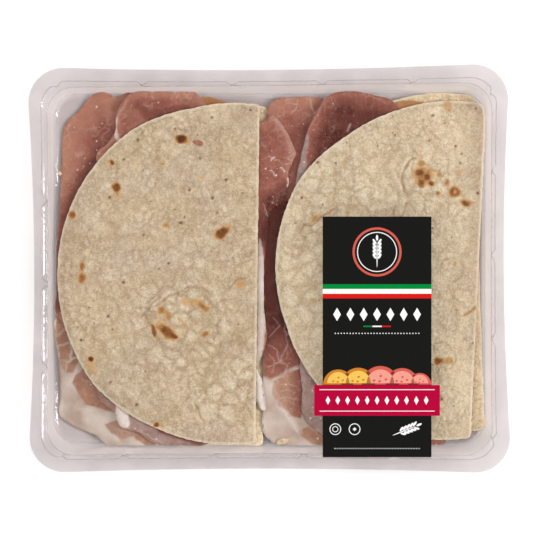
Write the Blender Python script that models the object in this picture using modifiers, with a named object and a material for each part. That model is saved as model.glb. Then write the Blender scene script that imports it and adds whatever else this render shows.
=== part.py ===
"""A sealed clear pack of two filled piadine, lying flat with its film lid up.

Metres, +Z up. The origin is the centre of the tray's underside. Each piadina is two halves of a
round flatbread with cheese and slices of cured ham between them; the ham hangs out at the rims.
"""
import math

import bmesh
import bpy
import numpy as np
from mathutils import Vector, geometry, noise

MM = 0.001
GAP = 0.35 * MM

# Tray
TRAY_LENGTH = 0.2738
TRAY_WIDTH = 0.2317
TRAY_HEIGHT = 0.0250
SHEET_THICKNESS = 0.0005
STEP_INSET_ENDS = 0.0066
STEP_INSET_SIDES = 0.0074
STEP_DEPTH = 0.0015
STEP_SLOPE = 0.0006
LEDGE_INSET = 0.0100
WALL_DRAFT_ENDS = 0.0031
WALL_DRAFT_SIDES = 0.0045
FOOT_HEIGHT = 0.0035
FOOT_RADIUS = 0.0030
FLANGE_RADIUS = 0.0200
STEP_RADIUS = 0.0145
WALL_RADIUS = 0.0155
FOOT_CORNER_RADIUS = 0.0135
FLOOR_CORNER_RADIUS = 0.0105
CORNER_SEGMENTS = 7
# Anti-nesting lugs along the step: how many, how far apart, how far off the side's middle, and how
# far they reach in over the ledge.
LUG_WIDTH = 0.0069
LUG_TIP = 0.0018
LUG_ROWS = {
    "back": (4, 0.0515, 0.0046, 0.0020),
    "left": (3, 0.0478, -0.0088, 0.0026),
    "front": (4, 0.0515, -0.0063, 0.0018),
    "right": (3, 0.0482, 0.0077, 0.0017),
}
CORNER_LUG_STEPS = (2, 2, 6, 6)
CORNER_LUG_REACH = 0.0021
# The sealed tray is pulled a little out of true: how far each corner stands off its rectangle,
# anticlockwise from the corner at +X +Y, and how far each side bows in at its middle, in the order
# back, left, front, right.
FLANGE_SHIFTS = ((-0.0008, 0.0006), (-0.0006, -0.0015), (0.0001, -0.0004), (0.0003, -0.0006))
FLANGE_BOWS = (0.0022, 0.0030, 0.0022, 0.0030)
STEP_SHIFTS = ((-0.0009, 0.0004), (-0.0001, -0.0016), (0.0, -0.0005), (-0.0009, -0.0006))
STEP_BOWS = (0.0012, 0.0008, 0.0010, 0.0008)
WALL_SHIFTS = ((0.0, 0.0), (0.0, -0.0026), (0.0, -0.0006), (0.0, -0.0009))
WALL_BOWS = (0.0003, 0.0006, 0.0011, 0.0006)
NO_SHIFTS = ((0.0, 0.0),) * 4
NO_BOWS = (0.0,) * 4
STEEPEST_DRAFT = WALL_DRAFT_SIDES + WALL_SHIFTS[1][1]

# Film lid and label
FILM_THICKNESS = 0.0003
LABEL_THICKNESS = 0.0003
LABEL_CENTRE = (0.0613, -0.0390)
LABEL_CARD = (0.0620, 0.1371)
LABEL_BAND = (0.0716, 0.0175)
LABEL_BAND_Y = -0.0752

# Filled flatbreads: each sheet thins towards its rim over the rim's width
BREAD_THICKNESS = 0.0030
BREAD_RIM_THICKNESS = 0.0017
BREAD_RIM_WIDTH = 0.0022
CHEESE_THICKNESS = 0.0020
CHEESE_RIM_THICKNESS = 0.0014
CHEESE_RIM_WIDTH = 0.0020
HAM_THICKNESS = 0.0010
HAM_RIM_THICKNESS = 0.0007
HAM_RIM_WIDTH = 0.0030
BLISTER_RELIEF = 0.0005
BLISTER_SIZE = 0.013
# How far past the floor's rim a sheet may lie against the wall
BREAD_CLIMB = 0.0034
HAM_CLIMB = 0.0036
# How stiffly a sheet spans what is under it
BREAD_STIFFNESS = 60
CHEESE_STIFFNESS = 20
HAM_STIFFNESS = 6
# Spacing of the points along a rim and inside a sheet
SAMPLE_SPACING = 0.002
TOP_RIM_SPACING = 0.0062
TOP_SPACING = 0.0100
BOTTOM_RIM_SPACING = 0.0085
BOTTOM_SPACING = 0.017
CHEESE_RIM_SPACING = 0.010
HAM_RIM_SPACING = 0.0055
HAM_SPACING = 0.0105

# How far each half-disc's rim departs from a true circle: (angle in degrees, departure in mm).
LEFT_RIM = ((80, -3.0), (105, -3.6), (125, -0.6), (180, 0.4), (205, 1.6), (220, 2.8), (245, 0.2),
            (280, -0.4))
RIGHT_RIM = ((80, -0.6), (112, -1.8), (130, -1.4), (150, 1.9), (180, 1.0), (200, -0.2), (225, 1.4),
             (275, -2.0))
PLAIN_RIM = ((80, -0.4), (120, 0.8), (180, -0.6), (230, 0.9), (280, -0.5))

# Each half flatbread: centre and radius of its disc, how far past the middle it is cut, the cut's
# tilt in degrees, how softly its corners are rounded, and its rim.
HALVES = {
    "left_flatbread_bottom": ((-0.0181, -0.0049), 0.1000, 0.0157, -0.9, 0.003, PLAIN_RIM),
    "right_flatbread_bottom": ((0.1015, 0.0030), 0.0985, 0.0200, 1.9, 0.003, PLAIN_RIM),
    "left_flatbread_top": ((-0.0216, -0.0014), 0.1000, 0.0150, -0.8, 0.0025, LEFT_RIM),
    "right_flatbread_top": ((0.1032, -0.0014), 0.0989, 0.0179, -2.4, 0.003, RIGHT_RIM),
}

# Outlines of the soft slices, in millimetres, each a closed smooth curve through its points.
CHEESE_LEFT = ((-38, 99), (-27, 96), (-18, 83), (-16, 11), (-18, -70), (-37, -90), (-80, -76),
               (-106, -35), (-109, 11), (-86, 57), (-57, 85))
CHEESE_RIGHT = ((73, 95), (82, 97), (98, 92), (111, 80), (115, 5), (111, -76), (98, -92), (64, -87),
                (23, -53), (12, -7), (23, 39), (52, 77))
HAM_LEFT_BACK = ((-76, 101), (-83, 101), (-89, 100), (-97, 102), (-104, 99), (-111, 91), (-118, 84),
                 (-120, 74), (-121, 39), (-123, 11), (-123, -12), (-122, -28), (-106, -32), (-86, 11),
                 (-66, 57), (-63, 85))
HAM_LEFT_TOP = ((-81, 100), (-88, 90), (-89, 79), (-95, 70), (-100, 64), (-89, 37), (-63, 28),
                (-33, 51), (-27, 80), (-37, 95), (-42, 101), (-51, 103), (-69, 103))
HAM_LEFT_FAT = ((-122, -27), (-124, -37), (-122, -53), (-121, -73), (-122, -84), (-114, -91),
                (-100, -97), (-90, -104), (-68, -105), (-40, -103), (-43, -93), (-69, -73), (-92, -41),
                (-104, -23))
HAM_LEFT_FOLD = ((-99, -69), (-96, -77), (-89, -83), (-87, -90), (-83, -92), (-74, -95), (-65, -101),
                 (-40, -103), (-31, -90), (-63, -73), (-89, -61))
HAM_LEFT_INNER = ((-17, 85), (-4, 84), (1, 89), (8, 82), (14, 70), (15, 64), (11, 57), (11, 49),
                  (8, 39), (0, 32), (-1, 19), (-3, 4), (-3, -25), (-1.5, -38), (-3, -47), (-7, -58),
                  (-4, -65), (-2, -83), (-8, -76), (-17, -58), (-22, -18), (-23, 51))
HAM_RIGHT_BACK = ((-1, 93), (5, 98), (12, 99), (32, 98), (43, 85), (38, 39), (24, 5), (24, -30),
                  (38, -58), (55, -81), (52, -101), (30, -106), (14, -104), (2, -100), (-4, -93), (-4, -78),
                  (-4, -35), (-4, 11), (-4, 68))
HAM_RIGHT_TOP = ((32, 98), (37, 101), (48, 102), (64, 99), (74, 93), (75, 71), (58, 37), (32, 22),
                 (18, 32), (15, 47), (19, 68), (24, 85))
HAM_RIGHT_FOLD = ((18, -53), (19, -70), (19, -83), (28, -94), (43, -101), (75, -104), (98, -103),
                  (101, -97), (89, -87), (64, -76), (43, -58), (28, -44))

# Colours, roughness
FINISHES = {
    "clear_plastic": ((0.72, 0.68, 0.69), 0.12),
    "clear_film": ((0.85, 0.85, 0.86), 0.08),
    "printed_label": ((0.012, 0.012, 0.011), 0.45),
    "flatbread": ((0.55, 0.42, 0.29), 0.85),
    "cheese": ((0.60, 0.34, 0.12), 0.50),
    "cured_ham": ((0.31, 0.12, 0.08), 0.40),
    "ham_fat": ((0.55, 0.42, 0.36), 0.40),
}


def clear_scene():
    for item in list(bpy.data.objects):
        bpy.data.objects.remove(item, do_unlink=True)


def make_material(name):
    colour, roughness = FINISHES[name]
    material = bpy.data.materials.new(name)
    material.use_nodes = True
    shader = material.node_tree.nodes["Principled BSDF"]
    shader.inputs["Base Color"].default_value = (*colour, 1.0)
    shader.inputs["Roughness"].default_value = roughness
    shader.inputs["Metallic"].default_value = 0.0
    return material


def add_object(bm, name, material, collection, parent):
    """Turn a finished bmesh into a named object with one material."""
    mesh = bpy.data.meshes.new(name)
    bm.to_mesh(mesh)
    bm.free()
    mesh.materials.append(material)
    item = bpy.data.objects.new(name, mesh)
    item.parent = parent
    collection.objects.link(item)
    return item


# Tray

def lug_share(distance, lugs):
    """How much of a lug's reach a step line has at a distance along its side."""
    nearest = min(abs(distance - lug) for lug in lugs)
    return min(1.0, max(0.0, (LUG_WIDTH / 2 - nearest) / (LUG_WIDTH / 2 - LUG_TIP / 2)))


def side_stations(half, lugs):
    """Places along a side where the tray's rings have a point: at the lugs and between them."""
    stations = []
    for lug in lugs:
        stations += [lug + side * width / 2 for width in (LUG_WIDTH, LUG_TIP) for side in (-1, 1)]
    edges = [-half] + sorted(lugs) + [half]
    for low, high in zip(edges, edges[1:]):
        stations.append((low + high) / 2)
    return sorted(s for s in stations if abs(s) < half - LUG_WIDTH / 4)


def tray_sides():
    """The four sides, anticlockwise from the back one: their stations in walking order, and lugs."""
    sides = []
    for name, along in (("back", -1), ("left", -1), ("front", 1), ("right", 1)):
        count, pitch, middle, reach = LUG_ROWS[name]
        lugs = [middle + pitch * (k - (count - 1) / 2) for k in range(count)]
        half = (TRAY_LENGTH if name in ("back", "front") else TRAY_WIDTH) / 2 - FLANGE_RADIUS - 0.002
        sides.append((side_stations(half, lugs)[::along], lugs, reach))
    return sides


def ring_points(length, width, radius, height, shifts=NO_SHIFTS, bows=NO_BOWS, lugged=0):
    """One closed ring of the tray: a rounded rectangle with shifted corners, bowed sides and lugs."""
    signs = ((1, 1), (-1, 1), (-1, -1), (1, -1))
    corners = []
    for (sx, sy), (dx, dy) in zip(signs, shifts):
        corner = Vector((sx * length / 2 + dx, sy * width / 2 + dy))
        corners.append(corner - Vector((sx * radius, sy * radius)))
    points = []
    for index, (stations, lugs, lug_reach) in enumerate(tray_sides()):
        centre = corners[index]
        start = index * 90.0
        for step in range(CORNER_SEGMENTS + 1):
            angle = math.radians(start + 90.0 * step / CORNER_SEGMENTS)
            reach = radius - (lugged * CORNER_LUG_REACH if step == CORNER_LUG_STEPS[index] else 0.0)
            points.append((centre.x + reach * math.cos(angle), centre.y + reach * math.sin(angle), height))
        outward = Vector((math.cos(math.radians(start + 90)), math.sin(math.radians(start + 90))))
        begin = centre + outward * radius
        end = corners[(index + 1) % 4] + outward * radius
        axis = index % 2
        for station in stations:
            share = (station - begin[axis]) / (end[axis] - begin[axis])
            inward = bows[index] * 4 * share * (1 - share) + lugged * lug_reach * lug_share(station, lugs)
            place = begin.lerp(end, share) - outward * inward
            points.append((place.x, place.y, height))
    return points


def tray_rings():
    """The tray's inner surface from the flange's edge down to the floor's rim."""
    step_z = TRAY_HEIGHT - STEP_DEPTH
    step_length = TRAY_LENGTH - 2 * STEP_INSET_ENDS
    step_width = TRAY_WIDTH - 2 * STEP_INSET_SIDES
    wall_length = TRAY_LENGTH - 2 * LEDGE_INSET
    wall_width = TRAY_WIDTH - 2 * LEDGE_INSET
    foot_length = wall_length - 2 * WALL_DRAFT_ENDS
    foot_width = wall_width - 2 * WALL_DRAFT_SIDES
    floor_z = SHEET_THICKNESS
    return (
        ring_points(TRAY_LENGTH, TRAY_WIDTH, FLANGE_RADIUS, TRAY_HEIGHT, FLANGE_SHIFTS, FLANGE_BOWS),
        ring_points(step_length, step_width, STEP_RADIUS, TRAY_HEIGHT, STEP_SHIFTS, STEP_BOWS, 1),
        ring_points(step_length - STEP_SLOPE, step_width - STEP_SLOPE, STEP_RADIUS, step_z,
                    STEP_SHIFTS, STEP_BOWS, 1),
        ring_points(wall_length, wall_width, WALL_RADIUS, step_z, WALL_SHIFTS, WALL_BOWS),
        ring_points(foot_length, foot_width, FOOT_CORNER_RADIUS, FOOT_HEIGHT),
        ring_points(foot_length - 0.7 * FOOT_RADIUS, foot_width - 0.7 * FOOT_RADIUS,
                    FOOT_CORNER_RADIUS - 0.35 * FOOT_RADIUS, floor_z + 0.25 * FOOT_RADIUS),
        ring_points(foot_length - 2 * FOOT_RADIUS, foot_width - 2 * FOOT_RADIUS, FLOOR_CORNER_RADIUS,
                    floor_z),
    )


def build_tray(collection, parent, material):
    bm = bmesh.new()
    loops = [[bm.verts.new(point) for point in ring] for ring in tray_rings()]
    for outer, inner in zip(loops, loops[1:]):
        count = len(outer)
        for k in range(count):
            bm.faces.new((outer[k], outer[(k + 1) % count], inner[(k + 1) % count], inner[k]))
    bm.faces.new(loops[-1])
    tray = add_object(bm, "tray", material, collection, parent)
    wall = tray.modifiers.new("wall", "SOLIDIFY")
    wall.thickness = SHEET_THICKNESS
    wall.offset = -1.0
    wall.use_even_offset = True
    return tray


def tray_surface(x, y):
    """Height of the tray's inside at a point, never lower than the real wall."""
    half_x = TRAY_LENGTH / 2 - LEDGE_INSET - WALL_DRAFT_ENDS - FOOT_RADIUS
    half_y = TRAY_WIDTH / 2 - LEDGE_INSET - WALL_DRAFT_SIDES - FOOT_RADIUS
    radius = FLOOR_CORNER_RADIUS
    over_x = np.abs(x) - (half_x - radius)
    over_y = np.abs(y) - (half_y - radius)
    out = np.hypot(np.maximum(over_x, 0), np.maximum(over_y, 0))
    past = out + np.minimum(np.maximum(over_x, over_y), 0) - radius
    reach = (0.0, 0.65 * FOOT_RADIUS, FOOT_RADIUS, FOOT_RADIUS + STEEPEST_DRAFT)
    heights = (SHEET_THICKNESS, SHEET_THICKNESS + 0.3 * FOOT_RADIUS, FOOT_HEIGHT, TRAY_HEIGHT - STEP_DEPTH)
    return np.interp(past, reach, heights), past


def inside_tray(points, limit):
    """Pull an outline's points in until none is further than the limit past the floor's rim."""
    moved = points.copy()
    step = 1e-5
    for _ in range(4):
        past = tray_surface(moved[:, 0], moved[:, 1])[1]
        slope_x = (tray_surface(moved[:, 0] + step, moved[:, 1])[1] - past) / step
        slope_y = (tray_surface(moved[:, 0], moved[:, 1] + step)[1] - past) / step
        excess = np.maximum(past - limit, 0)
        moved[:, 0] -= excess * slope_x
        moved[:, 1] -= excess * slope_y
    return moved


# Outlines

def even_steps(points, spacing):
    """Points at even spacing along an open line, from its first point to short of its last."""
    runs = np.hypot(*np.diff(points, axis=0).T)
    along = np.concatenate(((0,), np.cumsum(runs)))
    count = max(8, round(along[-1] / spacing))
    wanted = np.arange(count) * along[-1] / count
    return np.column_stack((np.interp(wanted, along, points[:, 0]), np.interp(wanted, along, points[:, 1])))


def resample(points, spacing):
    """Points at even spacing along a closed outline."""
    return even_steps(np.vstack((points, points[:1])), spacing)


def smooth_outline(points_mm, spacing):
    """A closed Catmull-Rom curve through points given in millimetres."""
    knots = np.array(points_mm, dtype=float) * MM
    before = np.roll(knots, 1, axis=0)
    after = np.roll(knots, -1, axis=0)
    beyond = np.roll(knots, -2, axis=0)
    slope = after - before
    bend = 2 * before - 5 * knots + 4 * after - beyond
    twist = 3 * knots - before - 3 * after + beyond
    pieces = []
    for t in np.arange(0, 1, 0.1):
        pieces.append(knots + 0.5 * (slope * t + bend * t ** 2 + twist * t ** 3))
    curve = np.stack(pieces, axis=1).reshape(-1, 2)
    return resample(curve, spacing)


def half_disc_outline(centre, radius, cut, tilt_degrees, softness, rim, spacing):
    """A round flatbread cut a little past its middle, its curved side towards -X."""
    start = math.degrees(math.acos(cut / radius))
    angles = np.arange(start, 360 - start, 0.75)
    departures = np.interp(angles, [a for a, _ in rim], [d for _, d in rim]) * MM
    reach = radius + departures
    arc = np.column_stack((reach * np.cos(np.radians(angles)), reach * np.sin(np.radians(angles))))
    fine = 0.5 * MM
    outline = resample(arc, fine)
    corner = int(np.hypot(*(outline - arc[-1]).T).argmin())
    half_window = int(softness / fine)
    weights = np.hanning(2 * half_window + 3)[1:-1]
    weights /= weights.sum()
    padded = np.vstack((outline[-half_window:], outline, outline[:half_window]))
    outline = np.column_stack([np.convolve(padded[:, axis], weights, mode="valid") for axis in (0, 1)])
    tilt = math.radians(tilt_degrees)
    turn = np.array(((math.cos(tilt), math.sin(tilt)), (-math.sin(tilt), math.cos(tilt))))
    turned = outline @ turn + np.array(centre)
    round_side = even_steps(turned[:corner + 1], spacing)
    cut_side = even_steps(np.vstack((turned[corner:], turned[:1])), spacing)
    return np.vstack((round_side, cut_side))


# Draped sheets

def distance_to_outline(points, outline):
    """Distance of each point from a closed outline, and whether it lies inside."""
    start = outline
    run = np.roll(outline, -1, axis=0) - start
    offset = points[:, None, :] - start[None, :, :]
    share = np.clip((offset * run).sum(-1) / (run ** 2).sum(-1), 0, 1)
    distance = np.hypot(*np.moveaxis(offset - share[..., None] * run, -1, 0)).min(axis=1)
    rises = (start[:, 1] > points[:, None, 1]) != (np.roll(start[:, 1], -1) > points[:, None, 1])
    with np.errstate(divide="ignore", invalid="ignore"):
        crossing = start[:, 0] + (points[:, None, 1] - start[:, 1]) / run[:, 1] * run[:, 0]
    inside = (rises & (points[:, None, 0] < crossing)).sum(axis=1) % 2 == 1
    return distance, inside


def plane_mesh(outline, rim_width, spacing):
    """Triangles inside an outline: the outline, a ring just inside it, and an even inner pattern."""
    tangent = np.roll(outline, -1, axis=0) - np.roll(outline, 1, axis=0)
    tangent /= np.hypot(*tangent.T)[:, None]
    ring = outline + rim_width * np.column_stack((-tangent[:, 1], tangent[:, 0]))
    low = outline.min(axis=0)
    high = outline.max(axis=0)
    lattice = []
    row_height = spacing * math.sqrt(3) / 2
    for row in range(int((high[1] - low[1]) / row_height) + 1):
        shift = spacing / 2 * (row % 2)
        for x in np.arange(low[0] + shift, high[0], spacing):
            lattice.append((x, low[1] + (row + 0.5) * row_height))
    lattice = np.array(lattice)
    ring_gap, ring_inside = distance_to_outline(ring, outline)
    ring = ring[ring_inside & (ring_gap > 0.9 * rim_width)]
    inner_gap, inner_inside = distance_to_outline(lattice, outline)
    lattice = lattice[inner_inside & (inner_gap > rim_width + 0.5 * spacing)]
    points = [Vector(p) for p in np.vstack((outline, ring, lattice))]
    edges = [(k, (k + 1) % len(outline)) for k in range(len(outline))]
    made = geometry.delaunay_2d_cdt(points, edges, [], 1, 1e-7)
    return np.array([tuple(p) for p in made[0]]), np.array(made[2]), len(outline)


def surface_samples(points, faces, heights):
    """Points spread over a draped sheet's upper face."""
    full = np.column_stack((points, heights))
    samples = [full]
    for a, b, c in full[faces]:
        longest = max(np.hypot(*(a - b)[:2]), np.hypot(*(b - c)[:2]), np.hypot(*(c - a)[:2]))
        parts = int(longest / SAMPLE_SPACING) + 1
        i, j = np.meshgrid(np.arange(parts + 1), np.arange(parts + 1))
        keep = i + j <= parts
        u = (i[keep] / parts)[:, None]
        v = (j[keep] / parts)[:, None]
        samples.append(a * (1 - u - v) + b * u + c * v)
    return np.vstack(samples)


def highest_under(corners, samples):
    """The highest sample under a triangle, or within a sample's spacing of it."""
    low = corners.min(axis=0) - SAMPLE_SPACING
    high = corners.max(axis=0) + SAMPLE_SPACING
    near = samples[((samples[:, :2] > low) & (samples[:, :2] < high)).all(axis=1)]
    inside = np.ones(len(near), dtype=bool)
    for k in range(3):
        start = corners[k]
        run = corners[(k + 1) % 3] - start
        offset = near[:, :2] - start
        side = (run[0] * offset[:, 1] - run[1] * offset[:, 0]) / np.hypot(*run)
        inside &= side > -0.6 * SAMPLE_SPACING
    return near[inside, 2].max() if inside.any() else 0.0


def drape(points, faces, support, passes):
    """Lay a sheet on what is under it: as low as it can lie, then pulled smooth between."""
    lowest = tray_surface(points[:, 0], points[:, 1])[0] + GAP
    for face in faces:
        lowest[face] = np.maximum(lowest[face], highest_under(points[face], support) + GAP)
    links = np.vstack((faces[:, :2], faces[:, 1:], faces[:, ::2]))
    heights = lowest.copy()
    for _ in range(passes):
        total = np.zeros(len(points))
        count = np.zeros(len(points))
        for a, b in ((0, 1), (1, 0)):
            np.add.at(total, links[:, a], heights[links[:, b]])
            np.add.at(count, links[:, a], 1)
        heights = np.maximum(lowest, 0.5 * heights + 0.5 * total / count)
    return heights


def bread_relief(x, y):
    """Low blisters of a griddled flatbread."""
    place = Vector((x, y, 0.0)) / BLISTER_SIZE
    return BLISTER_RELIEF * max(0.0, 0.4 + noise.noise(place) + 0.5 * noise.noise(place * 2.3))


class Stack:
    """The food laid so far, as samples of its upper faces."""

    def __init__(self, collection, parent, materials):
        self.collection = collection
        self.parent = parent
        self.materials = materials
        self.samples = np.empty((0, 3))

    def lay(self, name, finish, outline, thickness, rim_thickness, rim_width, spacing, passes, relief=None):
        """Drape one sheet over the stack and build it as a closed solid."""
        points, faces, rim_count = plane_mesh(outline, rim_width, spacing)
        under = drape(points, faces, self.samples, passes)
        rise = np.full(len(points), thickness)
        rise[:rim_count] = rim_thickness
        if relief:
            rise[rim_count:] += [relief(x, y) for x, y in points[rim_count:]]
        bm = bmesh.new()
        low = [bm.verts.new((x, y, z)) for (x, y), z in zip(points, under)]
        for face in faces:
            bm.faces.new([low[k] for k in face])
        above = {(v.co.x, v.co.y): lift for v, lift in zip(low, rise)}
        extruded = bmesh.ops.extrude_face_region(bm, geom=list(bm.faces))
        for item in extruded["geom"]:
            if isinstance(item, bmesh.types.BMVert):
                item.co.z += above[(item.co.x, item.co.y)]
        bmesh.ops.recalc_face_normals(bm, faces=list(bm.faces))
        sheet = add_object(bm, name, self.materials[finish], self.collection, self.parent)
        sheet.data.shade_smooth()
        self.samples = np.vstack((self.samples, surface_samples(points, faces, under + rise)))
        return sheet

    def lay_bread(self, name, rim_spacing, spacing, relief=None):
        outline = inside_tray(half_disc_outline(*HALVES[name], rim_spacing), BREAD_CLIMB)
        self.lay(name, "flatbread", outline, BREAD_THICKNESS, BREAD_RIM_THICKNESS, BREAD_RIM_WIDTH, spacing,
                 BREAD_STIFFNESS, relief)

    def lay_cheese(self, name, points_mm):
        outline = inside_tray(smooth_outline(points_mm, CHEESE_RIM_SPACING), BREAD_CLIMB)
        self.lay(name, "cheese", outline, CHEESE_THICKNESS, CHEESE_RIM_THICKNESS, CHEESE_RIM_WIDTH,
                 BOTTOM_SPACING, CHEESE_STIFFNESS)

    def lay_ham(self, name, points_mm, finish="cured_ham"):
        outline = inside_tray(smooth_outline(points_mm, HAM_RIM_SPACING), HAM_CLIMB)
        self.lay(name, finish, outline, HAM_THICKNESS, HAM_RIM_THICKNESS, HAM_RIM_WIDTH, HAM_SPACING,
                 HAM_STIFFNESS)


def build_food(collection, parent, materials):
    """Both piadine, laid from the floor up in the order in which they overlap."""
    stack = Stack(collection, parent, materials)
    stack.lay_bread("left_flatbread_bottom", BOTTOM_RIM_SPACING, BOTTOM_SPACING)
    stack.lay_bread("right_flatbread_bottom", BOTTOM_RIM_SPACING, BOTTOM_SPACING)
    stack.lay_cheese("left_cheese", CHEESE_LEFT)
    stack.lay_cheese("right_cheese", CHEESE_RIGHT)
    stack.lay_ham("right_ham_back", HAM_RIGHT_BACK)
    stack.lay_ham("left_ham_fat", HAM_LEFT_FAT, "ham_fat")
    stack.lay_ham("left_ham_back", HAM_LEFT_BACK)
    stack.lay_ham("left_ham_top", HAM_LEFT_TOP)
    stack.lay_ham("left_ham_fold", HAM_LEFT_FOLD, "ham_fat")
    stack.lay_ham("right_ham_top", HAM_RIGHT_TOP)
    stack.lay_ham("right_ham_fold", HAM_RIGHT_FOLD, "ham_fat")
    stack.lay_ham("left_ham_inner", HAM_LEFT_INNER)
    stack.lay_bread("left_flatbread_top", TOP_RIM_SPACING, TOP_SPACING, bread_relief)
    stack.lay_bread("right_flatbread_top", TOP_RIM_SPACING, TOP_SPACING, bread_relief)


# Lid

def extrude_outline(outline, low, thickness):
    """A flat plate: an outline filled and raised by its thickness."""
    bm = bmesh.new()
    face = bm.faces.new([bm.verts.new((x, y, low)) for x, y in outline])
    extruded = bmesh.ops.extrude_face_region(bm, geom=[face])
    for item in extruded["geom"]:
        if isinstance(item, bmesh.types.BMVert):
            item.co.z += thickness
    bmesh.ops.recalc_face_normals(bm, faces=list(bm.faces))
    return bm


def build_film(collection, parent, material):
    flange = ring_points(TRAY_LENGTH, TRAY_WIDTH, FLANGE_RADIUS, TRAY_HEIGHT, FLANGE_SHIFTS, FLANGE_BOWS)
    outline = [(x, y) for x, y, _ in flange]
    bm = extrude_outline(outline, TRAY_HEIGHT + GAP, FILM_THICKNESS)
    add_object(bm, "lid_film", material, collection, parent)


def build_label(collection, parent, material):
    """A card with a wider band across it, stuck on the film and over the flange."""
    cx, cy = LABEL_CENTRE
    card_x = LABEL_CARD[0] / 2
    card_y = LABEL_CARD[1] / 2
    band_x = LABEL_BAND[0] / 2
    band_low = LABEL_BAND_Y - LABEL_BAND[1] / 2 - cy
    band_high = LABEL_BAND_Y + LABEL_BAND[1] / 2 - cy
    right = [(card_x, -card_y), (card_x, band_low), (band_x, band_low), (band_x, band_high),
             (card_x, band_high), (card_x, card_y)]
    left = [(-x, y) for x, y in reversed(right)]
    outline = [(cx + x, cy + y) for x, y in right + left]
    low = TRAY_HEIGHT + FILM_THICKNESS + 2 * GAP
    add_object(extrude_outline(outline, low, LABEL_THICKNESS), "label", material, collection, parent)


def build():
    clear_scene()
    collection = bpy.data.collections.new("piadina_pack")
    bpy.context.scene.collection.children.link(collection)
    pack = bpy.data.objects.new("pack_origin", None)
    collection.objects.link(pack)
    materials = {name: make_material(name) for name in FINISHES}
    build_tray(collection, pack, materials["clear_plastic"])
    build_food(collection, pack, materials)
    build_film(collection, pack, materials["clear_film"])
    build_label(collection, pack, materials["printed_label"])


build()
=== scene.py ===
"""The looks of a sealed clear pack of two filled piadine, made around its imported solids.

Everything is in metres in the frame of the solids: +X along the pack's long side, +Y along its short
side, +Z up through the film lid. Places on the food and on the label are given in millimetres, as
(x, y) seen from above, and turned into metres by MM.
"""
import math

import bpy
import numpy as np
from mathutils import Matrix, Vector, kdtree, noise
from mathutils.bvhtree import BVHTree


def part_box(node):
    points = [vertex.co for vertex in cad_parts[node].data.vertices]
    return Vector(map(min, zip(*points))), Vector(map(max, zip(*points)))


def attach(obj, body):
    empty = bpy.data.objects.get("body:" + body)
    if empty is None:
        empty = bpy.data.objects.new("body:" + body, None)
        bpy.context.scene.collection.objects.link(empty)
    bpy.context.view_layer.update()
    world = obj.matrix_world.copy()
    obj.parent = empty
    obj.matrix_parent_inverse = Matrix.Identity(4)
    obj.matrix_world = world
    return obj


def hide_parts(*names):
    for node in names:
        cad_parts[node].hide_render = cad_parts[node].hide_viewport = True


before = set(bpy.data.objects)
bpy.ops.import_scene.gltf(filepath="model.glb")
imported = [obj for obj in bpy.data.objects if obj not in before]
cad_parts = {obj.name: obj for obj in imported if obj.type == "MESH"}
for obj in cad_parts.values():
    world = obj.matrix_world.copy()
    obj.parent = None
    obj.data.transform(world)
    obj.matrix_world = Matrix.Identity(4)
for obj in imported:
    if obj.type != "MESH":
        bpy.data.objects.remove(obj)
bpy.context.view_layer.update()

MM = 0.001

# Spacing of the points in each kind of sheet
BREAD_SPACING = 0.68 * MM
HIDDEN_SPACING = 1.6 * MM
HAM_SPACING = 0.75 * MM
FILM_SPACING = 4.0 * MM

# Film: its thickness, how high it lies over its solid's underside, how far it waves where it is slack,
# how wide its seal is and how far inside the seal it is fully slack
FILM_SHEET = 0.05 * MM
FILM_LIFT = 0.14 * MM
FILM_WAVE = 0.07 * MM
FILM_SEAL = 9 * MM
FILM_SLACKENS = 25 * MM

# Tray, close to its solid: insets from the flange's edge, heights and corner radii
TRAY_SHEET = 0.5 * MM
TRAY_LENGTH = 273.8 * MM
TRAY_WIDTH = 231.7 * MM
FLANGE_RADIUS = 20.0 * MM
STEP_INSET = (6.6 * MM, 7.4 * MM)
STEP_RADIUS = 14.5 * MM
STEP_DEPTH = 1.5 * MM
STEP_SLOPE = 0.3 * MM
LEDGE_INSET = 10.0 * MM
WALL_RADIUS = 15.5 * MM
WALL_DRAFT = (3.1 * MM, 4.5 * MM)
FOOT_HEIGHT = 3.5 * MM
FOOT_RADIUS = 3.0 * MM
FOOT_CORNER_RADIUS = 13.5 * MM
FLOOR_CORNER_RADIUS = 10.5 * MM
# Anti-nesting lugs: how many, how far apart, how far off the side's middle and how far in they reach
LUG_WIDTH = 6.4 * MM
LUG_TIP = 1.8 * MM
LUGS = {
    "back": (4, 51.5 * MM, 4.6 * MM, 2.0 * MM),
    "left": (3, 47.8 * MM, -8.8 * MM, 2.6 * MM),
    "front": (4, 51.5 * MM, -6.3 * MM, 1.8 * MM),
    "right": (3, 48.2 * MM, 7.7 * MM, 1.7 * MM),
}
CORNER_LUG_ANGLES = (25.7, 25.7, 77.1, 77.1)
CORNER_LUG_SPREAD = 12.9
CORNER_LUG_REACH = 2.1 * MM
# How far each corner stands off its rectangle, anticlockwise from +X +Y, and how far each side bows
# in, in the order back, left, front, right; both in millimetres
FLANGE_SHIFTS = ((-0.8, 0.6), (-0.6, -1.5), (0.1, -0.4), (0.3, -0.6))
FLANGE_BOWS = (2.2, 3.0, 2.2, 3.0)
STEP_SHIFTS = ((-0.9, 0.4), (-0.1, -1.6), (0.0, -0.5), (-0.9, -0.6))
STEP_BOWS = (1.2, 0.8, 1.0, 0.8)
WALL_SHIFTS = ((0.0, 0.0), (0.0, -2.6), (0.0, -0.6), (0.0, -0.9))
WALL_BOWS = (0.3, 0.6, 1.1, 0.6)
NO_SHIFTS = ((0.0, 0.0),) * 4
NO_BOWS = (0.0,) * 4
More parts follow.
